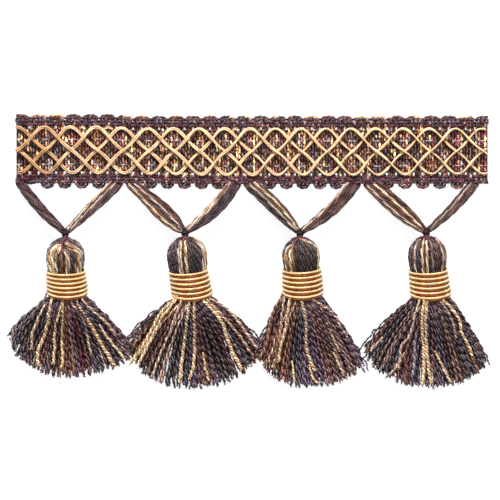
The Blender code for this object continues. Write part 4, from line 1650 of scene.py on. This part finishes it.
@dataclass
class Bundle:
    """The yarns that carry a tassel on one side, from the heading's edge to the knot."""

    knot: Knot  # the knot that they end in
    side: int  # -1 for the left bundle, 1 for the right
    root_x: float  # where they leave the heading
    root_width: float  # how wide they are there
    middle_width: float  # how wide they are halfway
    bow: float  # how far they bow out towards the hem
    tones: tuple[Tone, ...]  # the colours of the yarns on top, from left to right
    twist: float  # how far they turn about each other on the way, in degrees
    swell: float = 0.55  # the share of the way where they are widest
    rises: float = -1.0  # the share of the way where the bright yarns turn bright
    yarn: Yarn = Yarn(1.1 * MM, 10.0 * MM, ply_share=0.285, step=0.9 * MM)
    root_y: float = -12.3 * MM  # where they come out from under the border
    root_height: float = 1.5 * MM
    low: float = 0.75 * MM  # their height under the border
    end_width: float = 2.4 * MM  # how wide they are at the knot

    def _course(self) -> tuple[Line, np.ndarray]:
        """The bundle's way from under the border to the knot.

        Returns:
            Its middle line, and the share of the way at each of its points.
        """
        centre = self.knot.centre()
        root = np.array([self.root_x, self.root_y, self.root_height])
        away = root - centre
        away = np.array([away[0], away[1], 0]) / math.hypot(away[0], away[1])
        end = centre + away * 1.0 * MM
        bow = np.array([away[1], -away[0], 0]) * self.side * self.bow
        t = np.linspace(0, 1, 30)[:, None]
        middle = root + (end - root) * t + bow * np.sin(math.pi * t)
        back = [self.root_x + 0.15 * away[0] * MM, -10.2 * MM, self.low]
        return np.vstack([back, middle]), np.concatenate([[0.0], t[:, 0]])

    def build(self) -> None:
        """Makes the bundle's yarns."""
        number = self.knot.site.number
        hand = "left" if self.side < 0 else "right"
        rng = Shuffle(BUNDLE_SEED + 2 * number + self.side)
        spool = Spool(f"bundle_{number}_{hand}_yarns", 1)
        middle, t = self._course()
        late = t ** (math.log(0.5) / math.log(self.swell))
        width = self.root_width * (1 - late) * (1 - 2 * late) + self.end_width * late * (2 * late - 1)
        width = width + 4 * self.middle_width * late * (1 - late)
        reach = np.maximum(width / 2 - 0.3 * self.yarn.width, 0.3 * MM)
        under = ease((-middle[:, 1] - 11.8 * MM) / (2.2 * MM))
        middle[:, 2] = self.low + (middle[:, 2] - self.low) * under
        side, rise = square_to(middle)
        angle = math.radians(self.twist) * (t - 0.45)
        rows = ((-0.75, [PLUM_MIX.pick(rng) for _ in self.tones[1:]]),
                (0.0, [PLUM_MIX.pick(rng) for _ in range(len(self.tones) + 1)]),
                (0.75, self.tones))
        for height, tones in rows:
            # The rows under the top one take a darker tint: painted shade under the top row.
            dim = BUNDLE_DIM * (1.0 if height < 0.5 else 1.12)
            for place, tone in enumerate(tones):
                share = (place + 0.5) / len(tones) * 2 - 1
                across = share * np.cos(angle) - 0.4 * height * np.sin(angle)
                lift = (0.6 * share * np.sin(angle) + height * np.cos(angle)) * (0.15 + 0.85 * under)
                points = middle - side * (reach * across)[:, None] + rise * (0.8 * MM * lift)[:, None]
                line = crinkled(evenly(points, self.yarn.step), 0.03 * MM, (8 * MM, 16 * MM), rng)
                line[:, 2] = np.maximum(line[:, 2], 0.6 * MM)
                come = np.zeros((len(line), 1))
                if tone in (GOLD, CREAM, ROSE, SHELL):
                    come = ease((np.linspace(0, 1, len(line))[:, None] - self.rises) / 0.18)
                shade = dim + (BUNDLE_GLOW - dim) * come
                spool.lay_yarn(self.yarn, line, tone, rng, spread=0.6, shade=shade)
        add_piece(spool.skin(), YARN_FINISH.material(), f"bundle_{number}_{hand}")


# Studio


@dataclass
class Studio:
    """A plain pale floor, soft light from above and a camera that looks straight down."""

    target: Pair = (-0.72 * MM, -36.18 * MM)  # the place that the camera looks at
    span: float = 180.0 * MM  # the width that it sees
    distance: float = 1.5  # how high it hangs
    floor_size: float = 6.0
    floor_glow: float = 0.86

    def build(self) -> None:
        """Makes the floor, the lights and the camera."""
        self._floor()
        self._light("key", (-0.1, 0.95, 0.8), 0.4, 24.0)
        self._light("fill", (0.35, -0.1, 1.3), 0.8, 5.0)
        self._world()
        self._camera()
        view = bpy.context.scene.view_settings
        view.view_transform = "Standard"
        view.look = "None"

    def _floor(self) -> None:
        """The floor, under everything."""
        bm = bmesh.new()
        bmesh.ops.create_grid(bm, x_segments=2, y_segments=2, size=self.floor_size / 2)
        mesh = mesh_of(bm, "floor")
        mesh.materials.append(Graph("white_paper").surface({
            "Base Color": (0.3, 0.3, 0.3, 1),
            "Roughness": 0.9,
            "Emission Color": (1, 1, 1, 1),
            "Emission Strength": self.floor_glow,
        }))
        in_scene("floor", mesh)

    def _light(self, name: str, place: tuple[float, float, float], size: float, power: float) -> None:
        """One square soft light that points at the trim.

        Args:
            name: Its name.
            place: Where it hangs.
            size: The length of its sides.
            power: Its power in watts.
        """
        data = bpy.data.lights.new(name, "AREA")
        data.shape = "SQUARE"
        data.size = size
        data.energy = power
        light = in_scene(name, data)
        light.location = place
        aim = np.array([self.target[0], self.target[1], 0]) - np.array(place)
        flat = math.hypot(aim[0], aim[1])
        light.rotation_euler = (math.atan2(flat, -aim[2]), 0, math.atan2(aim[1], aim[0]) - math.pi / 2)

    def _world(self) -> None:
        """Even white light from all round."""
        world = bpy.data.worlds.new("studio")
        world.use_nodes = True
        background = world.node_tree.nodes["Background"]
        background.inputs["Color"].default_value = (1, 1, 1, 1)
        background.inputs["Strength"].default_value = 0.25
        bpy.context.scene.world = world

    def _camera(self) -> None:
        """A long lens straight above, so that the heights hardly spread."""
        data = bpy.data.cameras.new("camera")
        data.sensor_width = 36.0
        data.lens = 36.0 * self.distance / self.span
        data.clip_end = 10.0
        camera = in_scene("camera", data)
        camera.location = (*self.target, self.distance)
        bpy.context.scene.camera = camera


def bundles_of(knots: list[Knot]) -> list[Bundle]:
    """The eight bundles, two to a tassel.

    Args:
        knots: The knots, from left to right.

    Returns:
        The bundles, from left to right.
    """
    one, two, three, four = knots
    return [
        Bundle(one, -1, -83.2 * MM, 4.0 * MM, 4.1 * MM, 0.7 * MM,
               (BLACK, PLUM, MAUVE, VIOLET, PLUM), 15, 0.62),
        Bundle(one, 1, -48.5 * MM, 5.0 * MM, 4.4 * MM, 0.0,
               (GOLD, PLUM, SHELL, MAUVE, NAVY, MAUVE), -75),
        Bundle(two, -1, -43.3 * MM, 4.6 * MM, 7.0 * MM, -0.2 * MM,
               (RUST, GOLD, RUST, VIOLET, SHELL, RUST, PLUM), 30, 0.68),
        Bundle(two, 1, -6.0 * MM, 4.8 * MM, 5.7 * MM, 1.3 * MM,
               (GOLD, SHELL, PLUM, VIOLET, NAVY, PLUM), -45, 0.5, 0.35),
        Bundle(three, -1, -0.9 * MM, 5.2 * MM, 5.8 * MM, -0.6 * MM,
               (NAVY, BLACK, SHELL, RUST, GOLD, MAUVE), 30, 0.6),
        Bundle(three, 1, 36.9 * MM, 5.2 * MM, 5.0 * MM, 1.3 * MM,
               (SHELL, RUST, PLUM, PLUM, MAUVE, PLUM), -70),
        Bundle(four, -1, 42.6 * MM, 5.6 * MM, 6.6 * MM, 0.1 * MM,
               (RUST, SHELL, PLUM, RUST, GOLD, PLUM, RUST), 20, 0.6),
        Bundle(four, 1, 79.8 * MM, 4.6 * MM, 4.0 * MM, 0.7 * MM,
               (NAVY, SHELL, PLUM, RUST, NAVY), -50),
    ]


def main() -> None:
    """Builds the trim and the studio.
    """
    logging.basicConfig(level=logging.INFO, format="%(name)s %(message)s")
    Heading().build()
    for number in range(4):
        GimpCord(number).build()
    for site in SITES:
        Tassel(site).build()
    knots = [Knot(site) for site in SITES]
    for piece in knots + bundles_of(knots):
        piece.build()
    Studio().build()


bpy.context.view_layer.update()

if __name__ == "__main__":
    main()
